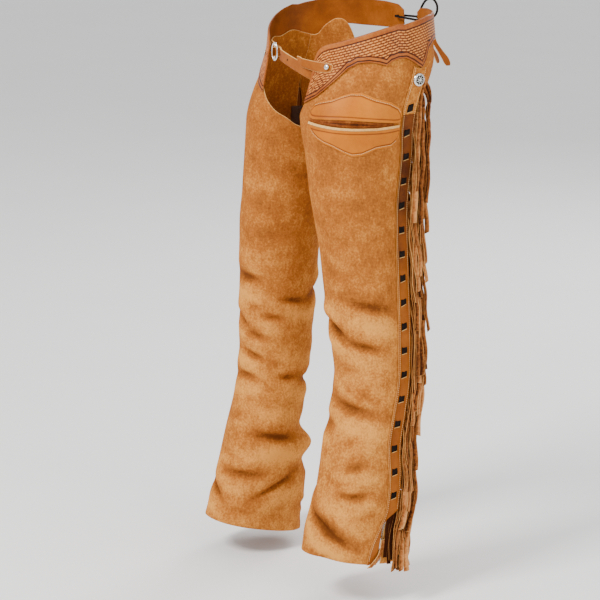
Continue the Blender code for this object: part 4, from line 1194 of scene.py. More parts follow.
@dataclass
class SideBand:
    """The suede flap under the concho and the smooth band, woven with a dark lace."""

    form: LegForm
    thick: float = 0.0020
    back: float = 0.0190
    top: float = -0.078
    bottom: float = -0.765
    gap: float = 0.0003
    lace_top: float = -0.068
    lace_pitch: float = 0.0419
    lace_count: int = 17
    lace_front: float = 0.0005
    lace_back: float = 0.0110
    lace_half: float = 0.0055
    lace_raise: float = 0.0011
    hem_clear: float = 0.004

    def flap(self) -> tuple[bpy.types.Object, np.ndarray]:
        """The suede flap above the band.

        Returns:
            The piece and its face grid.
        """
        form = self.form
        across = np.linspace(form.band_front, self.back, 25)[None, :]
        tops = np.interp(across, [form.band_front, 0.0, self.back], [0.0030, -0.0010, -0.0022])
        share = np.linspace(0.0, 1.0, 49)[:, None]
        z = (self.top + self.gap) + (tops - self.top - self.gap) * share
        face = form.strip(across, z, self.thick)
        bench = Bench()
        shell(bench, face, self.thick, form.sign, 0.12)
        thing = bench.sew(form.name + "_suede_flap", [SUEDE, TAN_EDGE])
        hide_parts(form.name + "_flap")
        return thing, face

    def band(self) -> tuple[bpy.types.Object, np.ndarray]:
        """The smooth band, narrowing to a facing beside the zip.

        Returns:
            The piece and its face grid.
        """
        form = self.form
        z = np.linspace(self.top, self.bottom, 260)
        fronts = np.full_like(z, form.band_front)
        backs = np.full_like(z, self.back)
        toe_bottom = float(form.hem(form.seam(np.array([-0.87])))[0]) + self.hem_clear
        toe_z = np.linspace(self.bottom - 0.003, toe_bottom, 36)
        keys = [t.z for t in BAND_TOE]
        toe_front = stroke(keys, [t.front for t in BAND_TOE], toe_z)
        toe_back = np.interp(-toe_z, [-k for k in keys], [t.back for t in BAND_TOE])
        z = np.concatenate([z, toe_z])[::-1, None]
        fronts = np.concatenate([fronts, toe_front])[::-1, None]
        backs = np.concatenate([backs, toe_back])[::-1, None]
        share = np.linspace(0.0, 1.0, 17)[None, :]
        across = fronts + (backs - fronts) * share
        belly = 0.0004 * np.sin(2.0 * math.pi * (z - self.lace_top) / self.lace_pitch) * share
        face = form.strip(across, np.broadcast_to(z, across.shape), self.thick + belly)
        bench = Bench()
        # Painted shadow: the band's crease value makes it darker towards its top and lighter lower down.
        shell(bench, face, self.thick, form.sign, (0.9 * ease((-0.20 - z) / 0.25) - 0.6) * np.ones_like(across))
        thing = bench.sew(form.name + "_smooth_band", [BAND, TAN_EDGE])
        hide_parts(form.name + "_band")
        return thing, face

    def square(self, bench: Bench, z: float, grow: float, tilt: float) -> None:
        """One square of lace with the slit above it and the pale lip below.

        Args:
            bench: where it goes.
            z: its height.
            grow: its size against the others.
            tilt: how far its front side is higher.
        """
        form = self.form
        half = self.lace_half * grow
        across = np.linspace(self.lace_front, self.lace_back, 9)[None, :]
        mid = (self.lace_front + self.lace_back) / 2.0
        share = np.linspace(-1.0, 1.0, 9)[:, None]
        slope = -tilt * (across - mid)
        levels = z + half * 0.92 * share + slope
        dome = np.sqrt(np.clip(1.0 - 0.82 * share ** 2, 0.0, 1.0)) * np.sqrt(
            np.clip(1.0 - 0.55 * ((across - mid) / (self.lace_back - mid)) ** 2, 0.0, 1.0))
        face = form.strip(across + 0.0 * share, levels, self.thick + 0.0001 + self.lace_raise * 1.25 * dome)
        shell(bench, face, 0.0012, form.sign, 0.15 * dome, (0, 0, 0))
        slit = form.strip(across + 0.0 * share[:4], z + half + 0.0012 * np.linspace(-0.6, 1.0, 4)[:, None] + slope,
                          self.thick + 0.00012)
        shell(bench, slit, 0.0004, form.sign, -0.5, (0, 0, 0))
        lip_share = np.linspace(-1.0, 1.0, 5)[:, None]
        bulge = 0.0009 * np.sqrt(np.clip(1.0 - 0.9 * lip_share ** 2, 0.0, 1.0))
        lip = form.strip(across + 0.0 * lip_share, z - half - 0.0005 + 0.0006 * lip_share + slope,
                         self.thick + 0.0001 + bulge)
        shell(bench, lip, 0.0006, form.sign, 0.4, (1, 1, 1))

    def lacing(self, seed: int) -> bpy.types.Object:
        """The lace's squares down the flap and band.

        Args:
            seed: for their small differences.

        Returns:
            The joined piece.
        """
        chance = random.Random(seed)
        bench = Bench()
        for i in range(self.lace_count):
            z = self.lace_top - self.lace_pitch * i
            self.square(bench, z, 1.12 if i == 0 else 0.94 + 0.12 * chance.random(), -0.10 - 0.25 * chance.random())
        return bench.sew(self.form.name + "_band_lacing", [LACE_LEATHER, CUT_EDGE])

    def thread(self) -> bpy.types.Object:
        """Stitches along the band's front edge and the flap's.

        Returns:
            The joined piece.
        """
        form = self.form
        bench = Bench()
        toe_bottom = float(form.hem(form.seam(np.array([-0.87])))[0]) + self.hem_clear + 0.003
        z = np.linspace(0.0, toe_bottom, 500)
        front = np.where(z > self.bottom, form.band_front,
                         stroke([t.z for t in BAND_TOE], [t.front for t in BAND_TOE], z)) + 0.0026
        path = form.strip(front, z, self.thick)
        lifts = form.strip(front, z, self.thick + 0.001) - path
        stitch_line(bench, path, lifts, 0.0036, 0.00060)
        outer = form.strip(np.full_like(z[z > self.bottom], self.back - 0.0024), z[z > self.bottom], self.thick)
        raised = form.strip(np.full_like(z[z > self.bottom], self.back - 0.0024), z[z > self.bottom],
                            self.thick + 0.001)
        stitch_line(bench, outer, raised - outer, 0.0036, 0.00050)
        return bench.sew(form.name + "_band_thread", [CREAM_THREAD])


@dataclass
class Fringe:
    """The backing strip and its suede strands, hanging from behind the band."""

    form: LegForm
    strands: int = 44
    width: float = 0.0080
    thick: float = 0.0013
    top: float = -0.016
    bottom: float = -0.758
    floor: float = -0.866
    backing_front: float = 0.006
    backing_back: float = 0.0175
    backing_thick: float = 0.0015
    gap: float = 0.0006
    step: float = 0.0024
    spread: float = 0.070
    length: float = 0.175
    vary: float = 0.045
    shadow: float = 420.0
    column_order: tuple[int, ...] = (0, 2, 1)
    column_levels: tuple[float, ...] = (-0.100, -0.300, -0.620, -0.740)
    column_pitches: tuple[float, ...] = (0.0110, 0.0078, 0.0078, 0.0115)

    def strand(self, bench: Bench, root: float, column: int, length: float, chance: random.Random,
               layer: float) -> None:
        """One strand: out of the backing, round an elbow and down, drifting as it hangs.

        Args:
            bench: where it goes.
            root: the height of its root.
            column: which column it hangs in.
            length: from root to tip.
            chance: its own small differences.
            layer: metres it hangs behind the first layer.
        """
        form = self.form
        pitch = float(stroke(self.column_levels, self.column_pitches, root))
        half = self.width / 2.0 * (0.70 + 0.42 * chance.random())
        start = self.backing_back - 0.004
        down = self.backing_back + 0.0030 + self.column_order[column] * pitch + self.width / 2.0
        down += (chance.random() - 0.5) * 0.0022
        tip = max(root - length, self.floor + 0.014 * chance.random())
        inner = -self.gap - self.backing_thick + 0.0001
        far = self.step + self.spread * (root - tip)
        sway = (chance.random() - 0.5) * 0.0060
        waves = 1.2 + 1.6 * chance.random()
        phase = 6.28 * chance.random()
        twist = (chance.random() - 0.5) * 1.4
        reach = down - start
        fall = 0.008 + 1.15 * reach
        stations = []
        for k in range(7):
            t = k / 7.0
            plumb = 1.5 * fall * math.sqrt(t)
            level = 2.0 * reach * (1.0 - t)
            stations.append((start + reach * (1.0 - (1.0 - t) ** 2), root - fall * t ** 1.5,
                             plumb / math.hypot(plumb, level), inner + 0.0008 * t, 0.0))
        for k in range(16):
            share = k / 15.0
            wave = 0.0012 * math.sin(phase + waves * 6.28 * share) * ease(share * 3.0)
            out = inner + (far - inner) * ease(min(share * 4.0, 1.0)) * (0.25 + 0.75 * share) - layer
            level = root - fall - (root - fall - tip) * share
            stations.append((down + sway * share ** 1.4 + wave, level, 1.0, out + 0.8 * wave, twist * share))
        lefts, rights = [], []
        for s, z, turned, out, spin in stations:
            ds = half * turned * math.cos(spin)
            dz = half * math.sqrt(max(1.0 - turned * turned, 0.0))
            lefts.append((s - ds, z - dz, out + self.thick - half * turned * math.sin(spin)))
            rights.append((s + ds, z + dz, out + self.thick + half * turned * math.sin(spin)))
        slant = (chance.random() - 0.3) * 0.006
        lefts[-1] = (lefts[-1][0], max(lefts[-1][1] - slant, self.floor), lefts[-1][2])
        table = np.array([[a, ((a[0] + b[0]) / 2, (a[1] + b[1]) / 2, (a[2] + b[2]) / 2 + 0.0003), b]
                          for a, b in zip(lefts, rights)])[::-1]
        face = form.strip(table[..., 0], table[..., 1], table[..., 2])
        # Each strand gets its own random tone. Across it, one long edge gets a painted highlight and the other painted
        # shade. Strands of the back layer get a painted shadow.
        shade = 1.5 * (chance.random() - 0.50) + np.array([[-0.9, 0.0, 0.9]]) * np.ones(face.shape[:2])
        shade -= self.shadow * layer
        shell(bench, face, self.thick, form.sign, shade)

    def under_strand(self, bench: Bench, across: float, length: float, lean: float) -> None:
        """A strand that hangs straight down from the backing's lower end.

        Args:
            bench: where it goes.
            across: how far behind the seam it hangs.
            length: from the backing's end to its tip.
            lean: how far its tip swings back.
        """
        half = self.width / 2.0 * 0.85
        share = np.linspace(1.0, 0.0, 14)[:, None]
        spread = np.array([[-1.0, 0.0, 1.0]])
        middle = across + lean * share + 0.0009 * np.sin(9.0 * share + 300.0 * across)
        z = self.bottom - length * share + 0.0 * spread
        out = -self.gap - self.backing_thick - 0.0004 + 0.0030 * share * (1.0 + 0.3 * spread ** 2)
        face = self.form.strip(middle + half * spread, z, out)
        # Painted shade: the strands under the backing are coloured dark for the shadow they hang in.
        shell(bench, face, self.thick, self.form.sign, -1.7)

    def build(self, seed: int) -> bpy.types.Object:
        """Build the backing and all strands.

        Args:
            seed: for the strands' small differences.

        Returns:
            The joined piece.
        """
        form = self.form
        z = np.linspace(self.bottom - 0.006, self.top + 0.006, 140)[:, None]
        across = np.linspace(self.backing_front, self.backing_back, 7)[None, :]
        face = form.strip(across + 0.0 * z, z + 0.0 * across, -self.gap)
        bench = Bench()
        shell(bench, face, self.backing_thick, form.sign, -0.1)
        lengths = random.Random(seed)
        chance = random.Random(seed + 100)
        for i in range(self.strands):
            root = self.top + (self.bottom - self.top) * i / (self.strands - 1)
            length = self.length + self.vary * lengths.random()
            column = i % len(self.column_order)
            self.strand(bench, root, column, length, chance, 0.0)
            if i < self.strands - 2:
                other = (column + 1) % len(self.column_order)
                self.strand(bench, root - 0.008, other, length * (0.70 + 0.25 * chance.random()), chance, 0.0032)
        for across, length, lean in ((0.0062, 0.086, 0.004), (0.0120, 0.098, 0.006), (0.0175, 0.092, 0.003)):
            self.under_strand(bench, across, length, lean)
        thing = bench.sew(form.name + "_suede_fringe", [FRINGE_SUEDE, CUT_EDGE])
        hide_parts(form.name + "_fringe")
        return thing


POCKET_UPPER = (
    Cut(90, -0.079, -0.067), Cut(93, -0.083, -0.059), Cut(98, -0.084, -0.055), Cut(111, -0.083, -0.050),
    Cut(120, -0.0825, -0.0425), Cut(128, -0.082, -0.038), Cut(139, -0.082, -0.038), Cut(156, -0.084, -0.047),
    Cut(174, -0.087, -0.054), Cut(187, -0.0895, -0.063), Cut(193, -0.090, -0.072), Cut(196, -0.088, -0.080),
)
POCKET_LIP = (
    Cut(92, -0.0935, -0.0895), Cut(114, -0.0965, -0.0925), Cut(130, -0.0985, -0.0945),
    Cut(145, -0.0995, -0.0955), Cut(170, -0.1000, -0.0960), Cut(196, -0.0985, -0.0945),
)
POCKET_LOWER = (
    Cut(95, -0.1005, -0.0945), Cut(99, -0.1060, -0.0955), Cut(103, -0.1120, -0.0962), Cut(109, -0.1180, -0.0970),
    Cut(116, -0.1235, -0.0975), Cut(126, -0.1290, -0.0990), Cut(137, -0.1380, -0.0998),
    Cut(146, -0.1435, -0.1002), Cut(156, -0.1420, -0.1005), Cut(171, -0.1325, -0.1007),
    Cut(180, -0.1310, -0.1005), Cut(189, -0.1300, -0.0998), Cut(195, -0.1230, -0.0992),
    Cut(198, -0.1120, -0.0990),
)


@dataclass
class Pocket:
    """The left leg's pocket: upper piece, facing inside the mouth, pale lip and lower piece."""

    form: LegForm
    lay: float = 0.0005
    thick: float = 0.0016
    lip_thick: float = 0.0024
    gape: float = 0.0030
    inset: float = 0.0030

    def stand_off(self, u: np.ndarray, share: np.ndarray) -> np.ndarray:
        """How far the lower piece stands off, most at the middle of its mouth.

        Args:
            u: angles.
            share: 0 at its lower edge and 1 at its mouth.

        Returns:
            Metres.
        """
        across = np.clip((u - 95.0) / 102.0, 0.0, 1.0)
        return self.gape * np.sin(np.pi * across) * share ** 2

    def piece(self, name: str, cuts: tuple[Cut, ...], node: str, thick: float, kind: str,
              finishes: list[Leather]) -> tuple[bpy.types.Object, np.ndarray]:
        """One piece of the pocket.

        Args:
            name: the piece's name.
            cuts: its lower and upper edges.
            node: the solid it stands for.
            thick: its thickness.
            kind: flat, lip or lower, for how it stands off.
            finishes: its face and edge.

        Returns:
            The piece and its face grid.
        """
        form = self.form
        u = np.linspace(cuts[0].u, cuts[-1].u, 121)[None, :]
        keys = [c.u for c in cuts]
        low = np.interp(u, keys, [c.low for c in cuts])
        high = np.interp(u, keys, [c.high for c in cuts])
        share = np.linspace(0.0, 1.0, 57 if kind != "lip" else 9)[:, None]
        z = low + (high - low) * share
        off = self.lay + (0.0 if kind == "flat" else 1.0) * self.stand_off(u, share if kind == "lower" else 1.0)
        if kind == "lip":
            off = off + 0.0005 * (np.sin(np.pi * share) - 0.5)
        inward = np.minimum(z - low, high - z) if kind != "lip" else np.full_like(z, 0.01)
        score = np.exp(-((inward - 0.0048) / 0.0010) ** 2)
        swell = 0.0009 * (1.0 - np.exp(-np.maximum(inward - 0.0046, 0.0) / 0.008)) * (inward > 0.0046)
        face = form.point(u, z, off + thick - 0.0004 * score + (swell if kind == "lower" else 0.0))
        bench = Bench()
        # Painted shade: the scored line is coloured darker than the rest of the piece.
        shell(bench, face, thick, form.sign, 0.1 - 1.3 * score)
        thing = bench.sew(name, finishes)
        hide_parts(node)
        return thing, face

    def seam_path(self, cuts: tuple[Cut, ...], upper: bool) -> tuple[np.ndarray, np.ndarray]:
        """The line of stitches inside a piece's outer edge.

        Args:
            cuts: the piece's edges.
            upper: whether it follows the upper edge rather than the lower.

        Returns:
            The path and the directions out of it.
        """
        u = np.linspace(cuts[0].u + 3.0, cuts[-1].u - 3.0, 160)
        keys = [c.u for c in cuts]
        edge = np.interp(u, keys, [c.high if upper else c.low for c in cuts])
        other = np.interp(u, keys, [c.low if upper else c.high for c in cuts])
        z = edge + np.sign(other - edge) * self.inset
        share = np.clip((z - np.minimum(edge, other)) / np.abs(edge - other), 0.0, 1.0)
        off = self.lay + self.thick + (0.0 if upper else 1.0) * self.stand_off(u, share)
        path = self.form.point(u, z, off)
        return path, self.form.point(u, z, off + 0.001) - path

    def build(self) -> list[bpy.types.Object]:
        """Build the pocket's pieces and their thread.

        Returns:
            The pieces.
        """
        mouth = tuple(Cut(u, float(np.interp(u, [c.u for c in POCKET_LIP], [c.high for c in POCKET_LIP])) + 0.0006,
                          float(np.interp(u, [c.u for c in POCKET_UPPER], [c.low for c in POCKET_UPPER])) - 0.0012)
                      for u in range(92, 196, 8))
        plan = (
            ("pocket_top_piece", POCKET_UPPER, "pocket_upper", self.thick, "flat", [SMOOTH, TAN_EDGE]),
            ("pocket_mouth_facing", mouth, "pocket_facing", self.thick * 0.5, "flat", [DARK_EDGE, DARK_EDGE]),
            ("pocket_rolled_lip", POCKET_LIP, "pocket_lip", self.lip_thick, "lip", [CUT_EDGE, CUT_EDGE]),
            ("pocket_bag_piece", POCKET_LOWER, "pocket_lower", self.thick, "lower", [SMOOTH, TAN_EDGE]),
        )
        made = []
        for name, cuts, node, thick, kind, finishes in plan:
            thing, face = self.piece(name, cuts, node, thick, kind, finishes)
            declare_sheet(thing, face)
            made.append(thing)
        bench = Bench()
        for cuts, upper in ((POCKET_UPPER, True), (POCKET_LOWER, False)):
            path, lifts = self.seam_path(cuts, upper)
            stitch_line(bench, path, lifts, 0.0034, 0.00065)
        made.append(bench.sew("pocket_thread", [CREAM_THREAD]))
        return made


@dataclass
class SilverTrim:
    """The conchos on the flaps, the rivets on the yokes and the oval buckle between them."""

    concho_radius: float = 0.0113
    concho_across: float = 0.0060
    concho_level: float = -0.020
    concho_clear: float = 0.0005
    rivet_radius: float = 0.0046
    rivet_angle: float = 91.0
    buckle_centre: tuple[float, float, float] = (-0.0470, -0.1250, 0.0110)
    buckle_tall: float = 0.0150
    buckle_wide: float = 0.0090
    buckle_wire: float = 0.0014

    def disc(self, name: str, place: np.ndarray, facing: np.ndarray, radii: np.ndarray, heights: np.ndarray,
             shades: np.ndarray) -> bpy.types.Object:
        """A struck metal disc from rings of heights.

        Args:
            name: its name.
            place: the middle of its back.
            facing: its outward direction.
            radii: each ring's radius.
            heights: rings by steps of height.
            shades: rings by steps of crease value.

        Returns:
            The piece.
        """
        steps = heights.shape[1]
        facing = facing / np.linalg.norm(facing)
        side = np.cross([0.0, 0.0, 1.0], facing)
        side /= np.linalg.norm(side)
        up = np.cross(facing, side)
        turn = np.linspace(0.0, 2.0 * math.pi, steps, endpoint=False)
        points = (place + radii[:, None, None] * (np.cos(turn)[None, :, None] * side
                                                  + np.sin(turn)[None, :, None] * up)
                  + heights[..., None] * facing)
        rings = len(radii)
        faces = [(i * steps + k, i * steps + (k + 1) % steps, (i + 1) * steps + (k + 1) % steps, (i + 1) * steps + k)
                 for i in range(rings - 1) for k in range(steps)]
        bench = Bench()
        start = bench.add(points, [f[::-1] for f in faces], 0, shades)
        bench.faces.append(tuple(start + k for k in range(steps)))
        bench.faces.append(tuple(start + (rings - 1) * steps + k for k in range(steps))[::-1])
        bench.slots += [0, 0]
        bench.flat += [False, True]
        return bench.sew(name, [SILVER])

    def concho(self, form: LegForm) -> bpy.types.Object:
        """A domed concho with a roped rim and a petalled boss.

        Args:
            form: the leg it is on.

        Returns:
            The piece.
        """
        across, level = self.concho_across, self.concho_level

        def at(s: float, z: float) -> np.ndarray:
            """A point of the flap's inner face."""
            return form.strip(np.array([s]), np.array([z]))[0]

        up = at(across, level + self.concho_radius) - at(across, level - self.concho_radius)
        along = at(0.0190, level) - at(0.0, level)
        facing = np.cross(along, up) * form.sign
        facing /= np.linalg.norm(facing)
        place = at(across, level) + facing * (0.0020 + self.concho_clear)
        steps = 72
        turn = np.linspace(0.0, 2.0 * math.pi, steps, endpoint=False)[None, :]
        shares = np.array([0.06, 0.16, 0.26, 0.36, 0.46, 0.54, 0.60, 0.66, 0.72, 0.78, 0.84, 0.90, 0.95, 1.0, 1.0])
        dome = np.array([5.2, 5.2, 5.0, 4.7, 4.3, 4.1, 3.2, 3.0, 3.4, 3.4, 3.0, 2.6, 2.2, 1.0, 0.0])[:, None] * 0.001
        petal = np.abs(np.sin(4.0 * turn)) ** 2 * ((shares > 0.2) & (shares < 0.56))[:, None]
        rope = np.sin(24.0 * turn + 12.0 * shares[:, None]) * ((shares > 0.80) & (shares < 0.97))[:, None]
        leaf = np.cos(8.0 * turn) * ((shares > 0.58) & (shares < 0.80))[:, None]
        heights = dome - 0.0009 * (1.0 - petal) * ((shares > 0.2) & (shares < 0.56))[:, None]
        heights = heights + 0.00035 * rope + 0.00030 * leaf
        heights[-1] = 0.0
        shades = (-1.5 * (1.0 - petal) * ((shares > 0.2) & (shares < 0.56))[:, None]
                  - 1.1 * ((shares > 0.57) & (shares < 0.68))[:, None] + 0.35 * rope + 0.3 * leaf)
        thing = self.disc(form.name + "_silver_concho", place, facing, self.concho_radius * shares, heights, shades)
        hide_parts(form.name + "_concho")
        return thing

    def rivet(self, form: LegForm, lift: float) -> bpy.types.Object:
        """A domed rivet on a yoke.

        Args:
            form: the leg it is on.
            lift: metres off the leg's face.

        Returns:
            The piece.
        """
        u, z = self.rivet_angle, 0.0
        up = np.array(form.spot(u, z + 0.004) - form.spot(u, z - 0.004))
        around = np.array(form.spot(u + 2.0, z) - form.spot(u - 2.0, z))
        facing = np.cross(around, up) * form.sign
        facing /= np.linalg.norm(facing)
        place = np.array(form.spot(u, z)) + facing * lift
        shares = np.array([0.05, 0.3, 0.55, 0.78, 0.92, 1.0, 1.0])
        heights = np.array([2.2, 2.1, 1.85, 1.4, 0.95, 0.5, 0.0])[:, None] * 0.001 * np.ones((1, 32))
        shades = np.array([0.2, 0.2, 0.1, 0.0, -0.1, -0.3, -0.3])[:, None] * np.ones((1, 32))
        thing = self.disc(form.name + "_silver_rivet", place, facing, self.rivet_radius * shares, heights, shades)
        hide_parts(form.name + "_rivet")
        return thing

    def buckle(self) -> bpy.types.Object:
        """The oval wire buckle and its bar.

        Returns:
            The piece.
        """
        centre = np.array(self.buckle_centre)
        bench = Bench()
        major, minor = 64, 16
        points = []
        for k in range(major):
            turn = 2.0 * math.pi * k / major
            rim = np.array([math.cos(turn), 0.0, math.sin(turn)])
            middle = np.array([rim[0] * self.buckle_wide, 0.0, rim[2] * self.buckle_tall])
            for s in range(minor):
                roll = 2.0 * math.pi * s / minor
                points.append(centre + middle + rim * math.cos(roll) * self.buckle_wire
                              + np.array([0.0, math.sin(roll) * self.buckle_wire, 0.0]))
        faces = [(k * minor + s, ((k + 1) % major) * minor + s, ((k + 1) % major) * minor + (s + 1) % minor,
                  k * minor + (s + 1) % minor) for k in range(major) for s in range(minor)]
        bench.add(np.array(points), faces)
        ends = [centre + np.array([0.0, 0.0, z * self.buckle_tall]) for z in (-1.0, -0.5, 0.0, 0.5, 1.0)]
        tube(bench, np.array(ends), 0.0010, 12)
        thing = bench.sew("oval_silver_buckle", [SILVER])
        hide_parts("buckle")
        return thing

    def build(self) -> list[bpy.types.Object]:
        """Build all the metal trim.

        Returns:
            The pieces.
        """
        on_yoke = 0.0008 + 0.0032 + 0.0006
        return [self.concho(LEFT), self.concho(RIGHT), self.rivet(LEFT, on_yoke + 0.0022 + 0.0010),
                self.rivet(RIGHT, on_yoke), self.buckle()]


@dataclass(frozen=True)
class Station:
    """A strap's station: its middle, the direction across it and its half width."""

    middle: tuple[float, float, float]
    across: tuple[float, float, float]
    half: float


@dataclass
class FrontStraps:
    """The front strap with its holes, the tongue riveted over it and the strap that carries the buckle."""

    thick: float = 0.0022
    buckle_centre: tuple[float, float, float] = (-0.0470, -0.1250, 0.0110)
    wire: float = 0.0014
    bar: float = 0.0010
    gap: float = 0.0003
    slant: tuple[float, float, float] = (0.20, 0.0, 0.98)

    def laid(self, form: LegForm, u: float, z: float, out: float, half: float) -> Station:
        """A station on a leg's face."""
        up = form.spot(u, z + 0.01, out) - form.spot(u, z - 0.01, out)
        return Station(tuple(form.spot(u, z, out)), tuple(up), half)

    def beside(self, x: float, y: float, z: float, half: float) -> Station:
        """A station beside the buckle, upright."""
        centre = self.buckle_centre
        return Station((centre[0] + x, centre[1] + y, centre[2] + z), (0.0, 0.0, 1.0), half)

    def ribbon(self, name: str, stations: list[Station], node: str, count: int) -> tuple[bpy.types.Object, np.ndarray]:
        """A strap through its stations, smoothly.

        Args:
            name: its name.
            stations: the stations.
            node: the solid it stands for.
            count: stretches along it.

        Returns:
            The piece and its face grid.
        """
        keys = list(range(len(stations)))
        at = np.linspace(0, len(stations) - 1, count + 1)
        middle = smooth_path([s.middle for s in stations], count)
        units = [np.array(s.across) / np.linalg.norm(s.across) for s in stations]
        across = np.stack([np.interp(at, keys, [v[k] for v in units]) for k in range(3)], axis=1)
        across /= np.linalg.norm(across, axis=1, keepdims=True)
        half = np.interp(at, keys, [s.half for s in stations])
        spread = np.linspace(-1.0, 1.0, 9)[None, :, None]
        grid = middle[:, None, :] + across[:, None, :] * half[:, None, None] * spread
        along = np.gradient(grid, axis=0)
        lift = np.cross(np.broadcast_to(across[:, None, :], along.shape), along)
        lift /= np.linalg.norm(lift, axis=2, keepdims=True)
        face = grid - lift * self.thick / 2.0
        crown = 0.00025 * (1.0 - spread[..., 0] ** 2)
        face = face - lift * (crown - 0.0001)[..., None]
        bench = Bench()
        shell(bench, face, self.thick, 1.0, 0.1)
        thing = bench.sew(name, [BAND, CUT_EDGE])
        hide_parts(node)
        return thing, face

    def holes(self, face: np.ndarray, rows: list[int], radius: float) -> bpy.types.Object:
        """Punched holes down a strap's middle.

        Args:
            face: the strap's face.
            rows: the rows of the face that they are at.
            radius: their radius.

        Returns:
            The joined piece.
        """
        bench = Bench()
        for row in rows:
            centre = face[row, 4]
            along = face[row + 1, 4] - face[row - 1, 4]
            across = face[row, 5] - face[row, 3]
            along /= np.linalg.norm(along)
            across /= np.linalg.norm(across)
            out = np.cross(along, across)
            turn = np.linspace(0.0, 2.0 * math.pi, 18, endpoint=False)[:, None]
            ring = centre + (np.cos(turn) * along + np.sin(turn) * across) * radius
            lip = centre + (np.cos(turn) * along + np.sin(turn) * across) * radius * 0.8 - out * 0.0003
            points = np.vstack([ring + out * 0.00012, lip + out * 0.00012])
            size = len(ring)
            faces = [(k, (k + 1) % size, size + (k + 1) % size, size + k) for k in range(size)]
            faces.append(tuple(range(size, 2 * size)))
            faces.append(tuple(range(size))[::-1])
            bench.add(points, faces)
        return bench.sew("strap_punched_holes", [LACE_LEATHER])

    def build(self) -> list[bpy.types.Object]:
        """Build the straps.

        Returns:
            The pieces.
        """
        behind = self.wire + self.gap * 2.0 + self.thick / 2.0
        over = -(self.bar + self.gap * 2.0 + self.thick / 2.0)
        front = [
            self.laid(LEFT, 84.0, -0.020, -0.0022, 0.0090), self.laid(LEFT, 76.0, -0.0155, -0.0022, 0.0095),
            Station((0.060, -0.1275, -0.0095), self.slant, 0.0100),
            Station((0.030, -0.1310, -0.0020), self.slant, 0.0098),
            Station((0.000, -0.1310, 0.0040), self.slant, 0.0095),
            Station((-0.026, -0.1275, 0.0085), (0.12, 0.0, 0.99), 0.0090),
            self.beside(0.0125, behind, -0.001, 0.0080), self.beside(0.0058, behind, 0.0, 0.0074),
            self.beside(0.0012, over, 0.0, 0.0074), self.beside(-0.0012, over, 0.0, 0.0074),
            self.beside(-0.0058, behind, 0.0, 0.0074), self.beside(-0.0125, behind, 0.001, 0.0078),
            self.beside(-0.0170, behind, 0.002, 0.0076),
        ]
        lift = 0.0008 + 0.0032 + self.gap + self.thick / 2.0 + 0.0008
        tongue = [
            self.laid(LEFT, 96.0, 0.000, lift, 0.0050), self.laid(LEFT, 91.0, 0.000, lift, 0.0075),
            self.laid(LEFT, 85.0, 0.000, lift, 0.0078), self.laid(LEFT, 79.0, 0.000, lift, 0.0078),
            self.laid(LEFT, 74.0, 0.001, lift, 0.0076), Station((0.062, -0.1335, 0.0045), self.slant, 0.0068),
            Station((0.052, -0.1345, 0.0085), self.slant, 0.0050),
            Station((0.044, -0.1345, 0.0120), self.slant, 0.0018),
        ]
        below = behind + self.thick + self.gap
        carrier = [
            self.beside(0.0060, below, 0.000, 0.0082), self.beside(-0.0080, below, 0.001, 0.0085),
            self.beside(-0.0150, below, 0.003, 0.0088), self.laid(RIGHT, 76.0, 0.0145, -0.0022, 0.0092),
            self.laid(RIGHT, 84.0, 0.0150, -0.0018, 0.0092),
        ]
        strap, face = self.ribbon("front_strap_leather", front, "front_strap", 120)
        made = [strap, self.holes(face, [38, 50, 62], 0.0021)]
        for name, stations, node, count in (("strap_tongue_leather", tongue, "strap_tongue", 48),
                                            ("buckle_strap_leather", carrier, "buckle_strap", 40)):
            made.append(self.ribbon(name, stations, node, count)[0])
        return made


@dataclass(frozen=True)
class PullStation:
    """A level of the zip's thong: from the seam, from the slider, off the face and how wide."""

    across: float
    drop: float
    out: float
    wide: float


